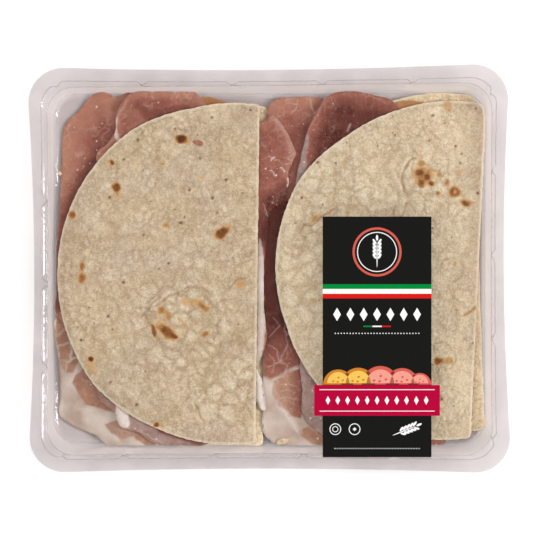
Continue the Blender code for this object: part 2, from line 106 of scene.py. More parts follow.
# The ledge's shape: how deep its riser is, and the share of its width and the depth of each crease
RISER_DEPTH = 0.76 * MM
LEDGE_CREASES = ((0.40, 1.26 * MM), (0.56, 1.26 * MM), (0.76, 1.50 * MM))
# How much steeper the ends' walls look than the solid's
END_FOOT_SHIFT = 1.1 * MM
# How many steps a tray line has round a corner, and along its long and its short sides
CORNER_STEPS = 21
SIDE_STEPS = (290, 235)


# Selecting and modelling

def only(piece):
    """Make one object the only one selected, and the active one."""
    bpy.ops.object.select_all(action="DESELECT")
    piece.select_set(True)
    bpy.context.view_layer.objects.active = piece


def new_piece(name, add, **settings):
    """Add a primitive as a piece of its own, with nothing else selected."""
    bpy.ops.object.select_all(action="DESELECT")
    add(**settings)
    piece = bpy.context.object
    piece.name = name
    piece.data.name = name
    return piece


def in_edit_mode(piece, *steps):
    """Run modelling steps on all of a piece's elements, in edit mode."""
    only(piece)
    bpy.ops.object.mode_set(mode="EDIT")
    bpy.ops.mesh.select_mode(type="VERT")
    bpy.ops.mesh.select_all(action="SELECT")
    for step in steps:
        step()
    bpy.ops.object.mode_set(mode="OBJECT")


def give_thickness(piece, thickness, offset, sharpest):
    """Give an open sheet its thickness, and shade it smooth except at bends sharper than an angle."""
    sheet = piece.modifiers.new("sheet", "SOLIDIFY")
    sheet.thickness = thickness
    sheet.offset = offset
    only(piece)
    bpy.ops.object.modifier_apply(modifier="sheet")
    bpy.ops.object.shade_smooth_by_angle(angle=math.radians(sharpest))


def points_of(piece):
    """A piece's points as an array."""
    places = np.zeros(len(piece.data.vertices) * 3)
    piece.data.vertices.foreach_get("co", places)
    return places.reshape(-1, 3)


def move_points(piece, places):
    piece.data.vertices.foreach_set("co", np.ascontiguousarray(places, dtype=np.float32).ravel())
    piece.data.update()


def edges_of(piece):
    ends = np.zeros(len(piece.data.edges) * 2, dtype=np.int32)
    piece.data.edges.foreach_get("vertices", ends)
    return ends.reshape(-1, 2)


def rim_edges(piece):
    """The edges that only one face uses."""
    used = np.zeros(len(piece.data.loops), dtype=np.int32)
    piece.data.loops.foreach_get("edge_index", used)
    ends = edges_of(piece)
    return ends[np.bincount(used, minlength=len(ends)) == 1]


def paint(piece, name, values):
    """Store one value for each point, for the materials to read."""
    layer = piece.data.attributes.get(name) or piece.data.attributes.new(name, "FLOAT", "POINT")
    layer.data.foreach_set("value", np.ascontiguousarray(values, dtype=np.float32))


def painted(piece, name):
    values = np.zeros(len(piece.data.vertices), dtype=np.float32)
    piece.data.attributes[name].data.foreach_get("value", values)
    return values


def spread(values, edges, passes, held=None):
    """Even out values between neighbouring points."""
    count = np.bincount(edges.ravel(), minlength=len(values))
    for _ in range(passes):
        total = np.bincount(edges[:, 0], weights=values[edges[:, 1]], minlength=len(values))
        total += np.bincount(edges[:, 1], weights=values[edges[:, 0]], minlength=len(values))
        smooth = 0.5 * values + 0.5 * total / np.maximum(count, 1)
        values = smooth if held is None else np.where(held, values, smooth)
    return values


def walk(edges):
    """The points of the longest closed loop of edges, in walking order."""
    links = {}
    for a, b in edges:
        links.setdefault(int(a), []).append(int(b))
        links.setdefault(int(b), []).append(int(a))
    longest = []
    left = set(links)
    while left:
        start = min(left)
        loop = [start]
        left.discard(start)
        while True:
            onward = [k for k in links[loop[-1]] if k in left]
            if not onward:
                break
            loop.append(onward[0])
            left.discard(onward[0])
        if len(loop) > len(longest):
            longest = loop
    return longest


# Outlines

def measured(points):
    """A closed outline's points with the first one again at the end, and how far along it each is."""
    closed = np.vstack((points, points[:1]))
    return closed, np.concatenate(((0,), np.cumsum(np.hypot(*np.diff(closed, axis=0).T))))


def headings(outline):
    """The unit direction in which a closed outline runs at each of its points."""
    step = np.roll(outline, -1, axis=0) - np.roll(outline, 1, axis=0)
    return step / np.hypot(*step.T)[:, None]


def finder_of(points):
    """A finder of the nearest of some points."""
    finder = kdtree.KDTree(len(points))
    for k, (x, y) in enumerate(points):
        finder.insert((x, y, 0), k)
    finder.balance()
    return finder


def distance_from(outline, places):
    finder = finder_of(outline)
    return np.array([finder.find((x, y, 0))[2] for x, y in places])


def resample(points, spacing):
    """Points at even spacing along a closed outline."""
    closed, along = measured(points)
    wanted = np.arange(max(8, round(along[-1] / spacing))) * spacing
    wanted *= along[-1] / (len(wanted) * spacing)
    return np.column_stack((np.interp(wanted, along, closed[:, 0]), np.interp(wanted, along, closed[:, 1])))


def smooth_through(points, spacing):
    """A closed smooth curve through points."""
    before, after, beyond = (np.roll(points, k, axis=0) for k in (1, -1, -2))
    pieces = []
    for t in np.arange(0, 1, 0.1):
        bend = (2 * before - 5 * points + 4 * after - beyond) * t ** 2
        twist = (3 * points - before - 3 * after + beyond) * t ** 3
        pieces.append(points + 0.5 * ((after - before) * t + bend + twist))
    return resample(np.stack(pieces, axis=1).reshape(-1, 2), spacing)


class Solid:
    """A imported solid: its outline from above, and the heights of its upper and lower faces."""

    def __init__(self, node):
        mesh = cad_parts[node].data
        self.places = [v.co.copy() for v in mesh.vertices]
        self.faces = [tuple(p.vertices) for p in mesh.polygons]
        self.tree = BVHTree.FromPolygons(self.places, self.faces)

    def outline(self):
        keys = [(round(p.x, 6), round(p.y, 6), round(p.z, 6)) for p in self.places]
        seen = {}
        for face in self.faces:
            a, b, c = (self.places[k] for k in face)
            if (b - a).cross(c - a).normalized().z < 0.05:
                continue
            for k in range(3):
                ends = (keys[face[k]], keys[face[(k + 1) % 3]])
                known = tuple(sorted(ends))
                seen[known] = seen.get(known, 0) + 1
        rim = [ends for ends, count in seen.items() if count == 1]
        order = sorted({end for ends in rim for end in ends})
        number = {key: k for k, key in enumerate(order)}
        loop = walk([(number[a], number[b]) for a, b in rim])
        points = np.array([order[k][:2] for k in loop])
        turn = np.roll(points, -1, axis=0)
        if (points[:, 0] * turn[:, 1] - points[:, 1] * turn[:, 0]).sum() < 0:
            points = points[::-1]
        return points

    def heights(self, places):
        """The upper and lower face's height at each place."""
        upper = np.zeros(len(places))
        lower = np.zeros(len(places))
        for k, (x, y) in enumerate(places):
            above = self.tree.ray_cast(Vector((x, y, 1)), Vector((0, 0, -1)))[0]
            below = self.tree.ray_cast(Vector((x, y, -1)), Vector((0, 0, 1)))[0]
            if above is None:
                above = below = self.tree.find_nearest(Vector((x, y, 0.01)))[0]
            upper[k] = above.z
            lower[k] = below.z
        return upper, lower


class Ground:
    """How high the food laid so far reaches, on an even raster."""

    PITCH = 1.0 * MM
    HALF = 150

    def __init__(self):
        side = 2 * self.HALF + 1
        self.raster = np.zeros((side, side))

    def cells(self, places):
        return np.clip(np.floor(places / self.PITCH).astype(int) + self.HALF, 0, 2 * self.HALF - 1)

    def height(self, places):
        column, row = self.cells(places).T
        return self.raster[column, row]

    def add(self, places, heights):
        column, row = self.cells(places).T
        for step_x in (0, 1):
            for step_y in (0, 1):
                np.maximum.at(self.raster, (column + step_x, row + step_y), heights)


ground = Ground()


# Sheets of food

def trimmed_grid(name, outline, spacing):
    """A fine flat grid cut to an outline, its rim drawn onto the outline."""
    low = outline.min(axis=0) - spacing
    size = outline.max(axis=0) + spacing - low
    columns, rows = (int(math.ceil(s / spacing)) for s in size)
    piece = new_piece(name, bpy.ops.mesh.primitive_grid_add, x_subdivisions=columns, y_subdivisions=rows,
                      size=1)
    middle = low + size / 2
    in_edit_mode(
        piece,
        lambda: bpy.ops.transform.resize(value=(size[0], size[1], 1)),
        lambda: bpy.ops.transform.translate(value=(middle[0], middle[1], 0)),
    )
    centres = np.zeros(len(piece.data.polygons) * 3)
    piece.data.polygons.foreach_get("center", centres)
    centres = centres.reshape(-1, 3)
    cell = np.round((centres[:, :2] - low) / size * (columns, rows) - 0.5).astype(int)
    column, row = np.clip(cell, 0, (columns - 1, rows - 1)).T
    kept = np.zeros((columns, rows), dtype=bool)
    turn = np.roll(outline, -1, axis=0)
    across = low[0] + size[0] * (np.arange(columns) + 0.5) / columns
    for k in range(rows):
        y = low[1] + size[1] * (k + 0.5) / rows
        cut = (outline[:, 1] > y) != (turn[:, 1] > y)
        share = (y - outline[cut, 1]) / (turn[cut, 1] - outline[cut, 1])
        crossings = np.sort(outline[cut, 0] + share * (turn[cut, 0] - outline[cut, 0]))
        kept[:, k] = np.searchsorted(crossings, across) % 2 == 1
    for _ in range(6):
        padded = np.pad(kept, 1)
        sides = (padded[:-2, 1:-1].astype(int) + padded[2:, 1:-1] + padded[1:-1, :-2] + padded[1:-1, 2:])
        kept &= sides >= 2
        corner = kept[:-1, :-1] & kept[1:, 1:] & ~kept[1:, :-1] & ~kept[:-1, 1:]
        kept[:-1, :-1][corner] = False
        corner = kept[1:, :-1] & kept[:-1, 1:] & ~kept[:-1, :-1] & ~kept[1:, 1:]
        kept[1:, :-1][corner] = False
    away = ~kept[column, row]
    in_edit_mode(piece, lambda: bpy.ops.mesh.select_all(action="DESELECT"))
    piece.data.polygons.foreach_set("select", away)
    bpy.ops.object.mode_set(mode="EDIT")
    bpy.ops.mesh.select_mode(type="FACE")
    bpy.ops.mesh.delete(type="FACE")
    bpy.ops.object.mode_set(mode="OBJECT")
    draw_onto(piece, outline)
    return piece


def draw_onto(piece, outline):
    """Move a grid's rim onto an outline, evenly, and even out the points inside."""
    places = points_of(piece)[:, :2]
    edges = edges_of(piece)
    loop = np.array(walk(rim_edges(piece)))
    fine = resample(outline, 0.1 * MM)
    closed, along = measured(fine)
    finder = finder_of(fine)
    where = np.array([along[finder.find((places[k][0], places[k][1], 0))[1]] for k in loop])
    length = along[-1]
    where = np.unwrap(where * 2 * math.pi / length) * length / (2 * math.pi)
    round_trip = length * np.sign(where[-1] - where[0])
    for _ in range(12):
        before = np.concatenate(((where[-1] - round_trip,), where[:-1]))
        after = np.concatenate((where[1:], (where[0] + round_trip,)))
        where = 0.25 * before + 0.5 * where + 0.25 * after
    held = np.zeros(len(places), dtype=bool)
    held[loop] = True
    for axis in (0, 1):
        places[loop, axis] = np.interp(where % length, along, closed[:, axis])
        places[:, axis] = spread(places[:, axis], edges, 20, held)
    move_points(piece, np.column_stack((places, np.zeros(len(places)))))


def wobble(outline, reach, size, seed):
    """An outline with small uneven waves, as a rim that is torn, cut or baked."""
    moved = outline.copy()
    way = headings(outline)
    for k, (x, y) in enumerate(outline):
        wave = noise.noise(Vector((x / size, y / size, seed)))
        wave += 0.5 * noise.noise(Vector((2.3 * x / size, 2.3 * y / size, seed + 5)))
        moved[k, 0] += reach * wave * way[k, 1]
        moved[k, 1] -= reach * wave * way[k, 0]
    return moved


def fine_noise(places, size, seed, octaves=1):
    """Smooth noise over places in metres, from about -1 to 1."""
    total = np.zeros(len(places))
    for k, (x, y) in enumerate(places):
        place = Vector((x / size, y / size, seed))
        value = noise.noise(place)
        for octave in range(1, octaves):
            value += noise.noise(place * 2.1 ** octave) * 0.55 ** octave
        total[k] = value
    return total


def bubbles(places, size, seed):
    """Inflated cells of about the size given: 1 on a cell's top, 0 in the creases between cells."""
    values = np.zeros(len(places))
    for k, (x, y) in enumerate(places):
        near, far = noise.voronoi(Vector((x / size, y / size, seed)))[0][:2]
        values[k] = min((far - near) / 0.45, 1)
    return values * (2 - values)


class Sheet:
    """A slice or flatbread: a fine grid cut to its solid's outline and laid at its solid's height."""

    def __init__(self, name, node, spacing, rim=(0.2 * MM, 4.0 * MM), seed=1.0, dents=()):
        self.name = name
        self.node = node
        self.seed = seed
        solid = Solid(node)
        outline = smooth_through(solid.outline(), 0.4 * MM)
        outline = wobble(outline, rim[0], rim[1], seed)
        self.outline = self.dented(outline, dents)
        self.piece = trimmed_grid(name, self.outline, spacing)
        in_edit_mode(
            self.piece,
            lambda: bpy.ops.mesh.inset(thickness=0.22 * MM, use_boundary=True),
            lambda: bpy.ops.mesh.inset(thickness=0.38 * MM, use_boundary=True),
        )
        self.places = points_of(self.piece)[:, :2]
        self.edges = edges_of(self.piece)
        self.inward = distance_from(resample(self.outline, 0.15 * MM), self.places)
        upper, lower = solid.heights(self.places)
        self.upper = spread(upper, self.edges, 30)
        self.lower = spread(lower, self.edges, 30)
        self.relief = np.zeros(len(self.places))
        self.shape_mm = self.places / MM

    @staticmethod
    def dented(outline, dents):
        """Small notches in a rim: (x, y, reach, half width), all in millimetres."""
        moved = outline.copy()
        way = headings(outline)
        inwards = np.column_stack((-way[:, 1], way[:, 0]))
        for x, y, reach, half_width in dents:
            gap = np.hypot(outline[:, 0] - x * MM, outline[:, 1] - y * MM)
            share = np.clip(1 - gap / (half_width * MM), 0, 1)
            moved += inwards * (reach * MM * share)[:, None]
        return moved

    def warped(self, reach, size):
        """The points' places in millimetres, shifted by noise so that painted shapes look grown."""
        shift_x = fine_noise(self.places, size * MM, self.seed + 11)
        shift_y = fine_noise(self.places, size * MM, self.seed + 37)
        return self.shape_mm + reach * np.column_stack((shift_x, shift_y))

    def lay(self, edge_radius, edge_share=0.35, clearance=0.06 * MM, thinnest=0.5 * MM):
        """Give the sheet its two faces, round its rim and keep it clear of what lies under it."""
        lowest = ground.height(self.places) + clearance
        lower = np.maximum(self.lower, lowest)
        upper = np.maximum(self.upper + self.relief, lower + thinnest)
        share = np.clip(self.inward / edge_radius, 0, 1)
        round_off = edge_share + (1 - edge_share) * np.sqrt(1 - (1 - share) ** 2)
        middle = 0.45 * upper + 0.55 * lower
        upper = middle + (upper - middle) * round_off
        lower = middle + (lower - middle) * round_off
        ground.add(self.places, upper)
        paint(self.piece, "upper", upper)
        paint(self.piece, "lower", lower)
        paint(self.piece, "rim", np.clip(self.inward / (3 * MM), 0, 1))
        in_edit_mode(
            self.piece,
            lambda: bpy.ops.mesh.extrude_region_move(TRANSFORM_OT_translate={"value": (0, 0, -1)}),
        )
        places = points_of(self.piece)
        is_top = places[:, 2] > -0.5
        places[:, 2] = np.where(is_top, painted(self.piece, "upper"), painted(self.piece, "lower"))
        move_points(self.piece, places)
        in_edit_mode(self.piece, lambda: bpy.ops.mesh.normals_make_consistent(inside=False))
        for name in ("upper", "lower"):
            self.piece.data.attributes.remove(self.piece.data.attributes[name])
        only(self.piece)
        bpy.ops.object.shade_smooth()
        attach(self.piece, "root")
        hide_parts(self.node)
        return self.piece


def stroke(places, points, width, soft=0.4):
    """How much of a painted line covers each place: 1 within its half width, 0 past its soft edge."""
    nearest = np.full(len(places), 1e9)
    points = np.array(points, dtype=float)
    for start, end in zip(points, points[1:]):
        run = end - start
        share = np.clip(((places - start) @ run) / (run @ run), 0, 1)
        nearest = np.minimum(nearest, np.hypot(*(places - start - share[:, None] * run).T))
    return np.clip((width / 2 + soft - nearest) / soft, 0, 1)


def patch(places, points, soft=0.6):
    """How much of a painted patch covers each place: 1 inside, fading over its soft edge outside."""
    points = np.array(points, dtype=float)
    turn = np.roll(points, -1, axis=0)
    inside = np.zeros(len(places), dtype=bool)
    for start, end in zip(points, turn):
        if start[1] == end[1]:
            continue
        rises = (start[1] > places[:, 1]) != (end[1] > places[:, 1])
        crossing = start[0] + (places[:, 1] - start[1]) / (end[1] - start[1]) * (end[0] - start[0])
        inside ^= rises & (places[:, 0] < crossing)
    edge = stroke(places, np.vstack((points, points[:1])), 0.0, soft)
    return np.where(inside, 1.0, edge)


def blot(places, x, y, length, width, turn=0.0):
    """A soft oval mark: 1 at its middle, about 0.5 at its rim, 0 outside."""
    angle = math.radians(turn)
    along = (places[:, 0] - x) * math.cos(angle) + (places[:, 1] - y) * math.sin(angle)
    across = (places[:, 1] - y) * math.cos(angle) - (places[:, 0] - x) * math.sin(angle)
    share = np.clip((1.45 - np.hypot(along / (length / 2), across / (width / 2))) / 1.1, 0, 1)
    return share * share * (3 - 2 * share)


def ridge(places, points, width):
    """A rounded ridge along a line: 1 on the line, 0 at the width's edge."""
    share = stroke(places, points, 0.0, width / 2)
    return share ** 2 * (3 - 2 * share)


# Shader nodes

def tone(red, green, blue):
    """A colour as a screen shows it, 0 to 255, in the linear values that shaders take."""
    shares = (value / 255 for value in (red, green, blue))
    return (*(s / 12.92 if s <= 0.04045 else ((s + 0.055) / 1.055) ** 2.4 for s in shares), 1.0)


def connect(tree, socket, value):
    if isinstance(value, bpy.types.NodeSocket):
        tree.links.new(value, socket)
    else:
        socket.default_value = value


def add_node(tree, kind, inputs=None, **settings):
    node = tree.nodes.new("ShaderNode" + kind)
    for name, value in settings.items():
        setattr(node, name, value)
    for name, value in (inputs or {}).items():
        connect(tree, node.inputs[name], value)
    return node


def mixed(tree, share, first, second):
    """A colour between two, by a share."""
    node = add_node(tree, "Mix", data_type="RGBA")
    for index, value in ((0, share), (6, first), (7, second)):
        connect(tree, node.inputs[index], value)
    return node.outputs[2]


def stained(tree, colour, mask, strength, stain):
    """A colour with a stain over it, where and as strongly as its mask says."""
    return mixed(tree, worked(tree, "MULTIPLY", mask, strength), colour, stain)


def worked(tree, operation, *values, clamp=False):
    node = add_node(tree, "Math", operation=operation, use_clamp=clamp)
    for index, value in enumerate(values):
        connect(tree, node.inputs[index], value)
    return node.outputs[0]


def rescaled(tree, value, low, high, to_low=0.0, to_high=1.0):
    """A value stretched from one range to another, and kept inside it."""
    node = add_node(tree, "MapRange", {"Value": value, "From Min": low, "From Max": high,
                                       "To Min": to_low, "To Max": to_high})
    return node.outputs[0]


def attribute(tree, name):
    return add_node(tree, "Attribute", attribute_name=name).outputs["Fac"]


def place_on_piece(tree):
    return add_node(tree, "TexCoord").outputs["Object"]


def clouds(tree, place, size, seed=0.0, detail=2.0, roughness=0.5):
    """Noise with blotches of about the size given, in metres."""
    node = add_node(tree, "TexNoise", {"Vector": place, "Scale": 1 / size, "W": seed, "Detail": detail,
                                       "Roughness": roughness}, noise_dimensions="4D")
    return node.outputs[0]


def cell_walls(tree, place, size):
    """How far a place is from the walls between cells of about the size given."""
    node = add_node(tree, "TexVoronoi", {"Vector": place, "Scale": 1 / size}, voronoi_dimensions="4D",
                    feature="DISTANCE_TO_EDGE")
    return node.outputs["Distance"]


def wandering(tree, place, size, reach):
    """A place shifted by noise, so that a pattern on it looks grown."""
    wander = add_node(tree, "TexNoise", {"Vector": place, "Scale": 1 / size, "Detail": 2.0})
    centred = add_node(tree, "VectorMath", operation="SUBTRACT")
    connect(tree, centred.inputs[0], wander.outputs[1])
    centred.inputs[1].default_value = (0.5, 0.5, 0.5)
    scaled = add_node(tree, "VectorMath", {"Scale": 2 * reach}, operation="SCALE")
    connect(tree, scaled.inputs[0], centred.outputs[0])
    moved = add_node(tree, "VectorMath", operation="ADD")
    connect(tree, moved.inputs[0], place)
    connect(tree, moved.inputs[1], scaled.outputs[0])
    return moved.outputs[0]


def new_group(name, numbers, outputs):
    """A shader node group with a place input and number inputs."""
    group = bpy.data.node_groups.new(name, "ShaderNodeTree")
    group.interface.new_socket("Place", in_out="INPUT", socket_type="NodeSocketVector")
    for label, value in numbers.items():
        socket = group.interface.new_socket(label, in_out="INPUT", socket_type="NodeSocketFloat")
        socket.default_value = value
    for label in outputs:
        group.interface.new_socket(label, in_out="OUTPUT", socket_type="NodeSocketFloat")
    return group, group.nodes.new("NodeGroupInput"), group.nodes.new("NodeGroupOutput")


def dots_group():
    """Small scattered dots: one in some cells of a pattern, each of its own size."""
    group, given, made = new_group("scattered_dots", {"Cell": 0.01, "Radius": 0.0006, "Share": 0.5},
                                   ("Mask",))
    scale = worked(group, "DIVIDE", 1.0, given.outputs["Cell"])
    cell = add_node(group, "TexVoronoi", {"Vector": given.outputs["Place"], "Scale": scale})
    parts = add_node(group, "SeparateColor", {"Color": cell.outputs["Color"]})
    chosen = worked(group, "LESS_THAN", parts.outputs[0], given.outputs["Share"])
    wide = worked(group, "MULTIPLY_ADD", parts.outputs[1], 0.8, 0.5)
    radius = worked(group, "MULTIPLY", wide, worked(group, "MULTIPLY", given.outputs["Radius"], scale))
    near = worked(group, "DIVIDE", cell.outputs["Distance"], radius)
    mask = worked(group, "MULTIPLY", chosen, rescaled(group, near, 1.3, 0.6))
    group.links.new(mask, made.inputs["Mask"])
    return group


def mottle_group():
    """Cloudy unevenness at three sizes."""
    group, given, made = new_group("mottle", {"Size": 0.004}, ("Value",))
    scale = worked(group, "DIVIDE", 1.0, given.outputs["Size"])
    total = None
    for factor, share, detail in ((1.0, 0.45, 3.0), (2.9, 0.25, 2.0), (0.28, 0.30, 1.0)):
        wave = add_node(group, "TexNoise", {"Vector": given.outputs["Place"], "Detail": detail,
                                            "Scale": worked(group, "MULTIPLY", scale, factor)})
        part = worked(group, "MULTIPLY", wave.outputs[0], share)
        total = part if total is None else worked(group, "ADD", total, part)
    group.links.new(total, made.inputs["Value"])
    return group


DOTS = dots_group()
MOTTLE = mottle_group()


def from_group(tree, group, **values):
    """What a group puts out, given its inputs' values."""
    node = tree.nodes.new("ShaderNodeGroup")
    node.node_tree = group
    for name, value in values.items():
        connect(tree, node.inputs[name], value)
    return node.outputs[0]


def dots(tree, place, cell, radius, share):
    return from_group(tree, DOTS, Place=place, Cell=cell, Radius=radius, Share=share)


def mottle(tree, place, size):
    return from_group(tree, MOTTLE, Place=place, Size=size)


def new_material(name):
    """A material with a Principled shader; its tree, its shader and a place on the piece."""
    material = bpy.data.materials.new(name)
    material.use_nodes = True
    tree = material.node_tree
    return material, tree, tree.nodes["Principled BSDF"], place_on_piece(tree)


def bumped(tree, height, distance, strength=1.0):
    node = add_node(tree, "Bump", {"Height": height, "Distance": distance, "Strength": strength})
    return node.outputs["Normal"]


def finish(piece, material):
    piece.data.materials.clear()
    piece.data.materials.append(material)
    return piece


# Materials

def flatbread_material():
    """Dry griddled flatbread: cream cells with painted highlights on their tops, brownish wrinkles with
    painted shade in them, pin holes, toasted marks, and pale rims that are partly painted light.
    """
    material, tree, shader, place = new_material("griddled_flatbread")
    cloudy = mottle(tree, place, 3.4 * MM)
    colour = mixed(tree, rescaled(tree, cloudy, 0.37, 0.63), tone(153, 130, 103), tone(206, 187, 159))
    wide = clouds(tree, place, 30 * MM, 3.0, 2.0)
    colour = mixed(tree, rescaled(tree, wide, 0.46, 0.68, 0.0, 0.38), colour, tone(198, 172, 132))
    grey = clouds(tree, place, 22 * MM, 9.0, 2.0)
    colour = mixed(tree, rescaled(tree, grey, 0.48, 0.66, 0.0, 0.5), colour, tone(186, 169, 148))
    # Paler patches: partly pale flour, partly painted light
    colour = stained(tree, colour, attribute(tree, "flour_and_light"), 0.58, tone(234, 216, 183))
    # Painted highlights: the tops of the cells and the raised ridges painted paler
    colour = stained(tree, colour, attribute(tree, "puff_highlight"), 0.62, tone(229, 214, 190))
    # Pale crumb colour, made paler still as painted light against the shade under the upper flatbreads
    crumb_and_light = worked(tree, "MULTIPLY", attribute(tree, "crumb_and_light"), rescaled(tree, cloudy, 0.35, 0.6, 0.65, 1.0))
    colour = mixed(tree, crumb_and_light, colour, tone(250, 229, 190))
    # Thin wrinkles between cells painted darker: partly browning, partly painted shade
    web = cell_walls(tree, wandering(tree, place, 5 * MM, 2.4 * MM), 3.4 * MM)
    web = rescaled(tree, web, 0.24, 0.0)
    patchy = rescaled(tree, clouds(tree, place, 8 * MM, 5.0, 3.0), 0.40, 0.64)
    thin = worked(tree, "MULTIPLY", rescaled(tree, web, 0.72, 0.96), 0.75)
    web = worked(tree, "MAXIMUM", worked(tree, "POWER", web, 1.6), thin)
    wrinkle_shade = worked(tree, "MULTIPLY", web, patchy)
    colour = stained(tree, colour, wrinkle_shade, 0.42, tone(152, 124, 92))
    # Creases between the baked bubbles painted darker: partly browning, partly painted shade
    colour = stained(tree, colour, attribute(tree, "web"), 0.40, tone(152, 124, 92))
    grain = clouds(tree, place, 1.1 * MM, 1.0, 3.0, 0.65)
    colour = mixed(tree, rescaled(tree, grain, 0.58, 0.34, 0.0, 0.42), colour, tone(150, 125, 96))
    fine = clouds(tree, place, 0.62 * MM, 8.0, 2.0, 0.6)
    colour = mixed(tree, rescaled(tree, fine, 0.53, 0.70, 0.0, 0.42), colour, tone(228, 212, 187))
    colour = mixed(tree, rescaled(tree, fine, 0.47, 0.30, 0.0, 0.40), colour, tone(140, 112, 82))
    freckles = dots(tree, wandering(tree, place, 1.0 * MM, 0.3 * MM), 3.6 * MM, 0.36 * MM, 0.3)
    colour = stained(tree, colour, freckles, 0.42, tone(138, 104, 70))
    pins = dots(tree, wandering(tree, place, 1.0 * MM, 0.25 * MM), 13.0 * MM, 0.60 * MM, 0.5)
    colour = stained(tree, colour, pins, 0.65, tone(92, 60, 32))
    # Pale rims: partly pale crust, partly painted light on rims that the rounding leaves in shade and on the
    # lit cut side
    edge = rescaled(tree, attribute(tree, "rim"), 0.55, 0.10, 0.0, 0.7)
    edge = worked(tree, "MULTIPLY", edge, attribute(tree, "rim_light_and_crust"))
    colour = mixed(tree, edge, colour, tone(246, 231, 206))
    warp = worked(tree, "SUBTRACT", clouds(tree, place, 1.6 * MM, 7.0, 4.0, 0.65), 0.5)
    heat = worked(tree, "MULTIPLY_ADD", warp, 0.5, attribute(tree, "toast"))
    colour = mixed(tree, rescaled(tree, heat, 0.14, 0.42, 0.0, 0.85), colour, tone(190, 149, 97))
    colour = mixed(tree, rescaled(tree, heat, 0.40, 0.78), colour, tone(138, 86, 46))
    colour = mixed(tree, rescaled(tree, heat, 0.78, 1.15), colour, tone(82, 46, 26))
    colour = stained(tree, colour, attribute(tree, "pin"), 0.85, tone(88, 54, 26))
    # Crease lines: partly browning, partly painted shade beside the ridges
    colour = stained(tree, colour, attribute(tree, "crease"), 0.8, tone(140, 106, 70))
    connect(tree, shader.inputs["Base Color"], colour)
    connect(tree, shader.inputs["Roughness"], rescaled(tree, grain, 0.3, 0.7, 0.78, 0.94))
    shader.inputs["Specular IOR Level"].default_value = 0.12
    lumps = clouds(tree, place, 2.8 * MM, 11.0, 2.0, 0.45)
    height = worked(tree, "ADD", lumps, worked(tree, "MULTIPLY", grain, 0.22))
    height = worked(tree, "SUBTRACT", height, worked(tree, "MULTIPLY", wrinkle_shade, 0.30))
    connect(tree, shader.inputs["Normal"], bumped(tree, height, 0.9 * MM, 1.0))
    return material


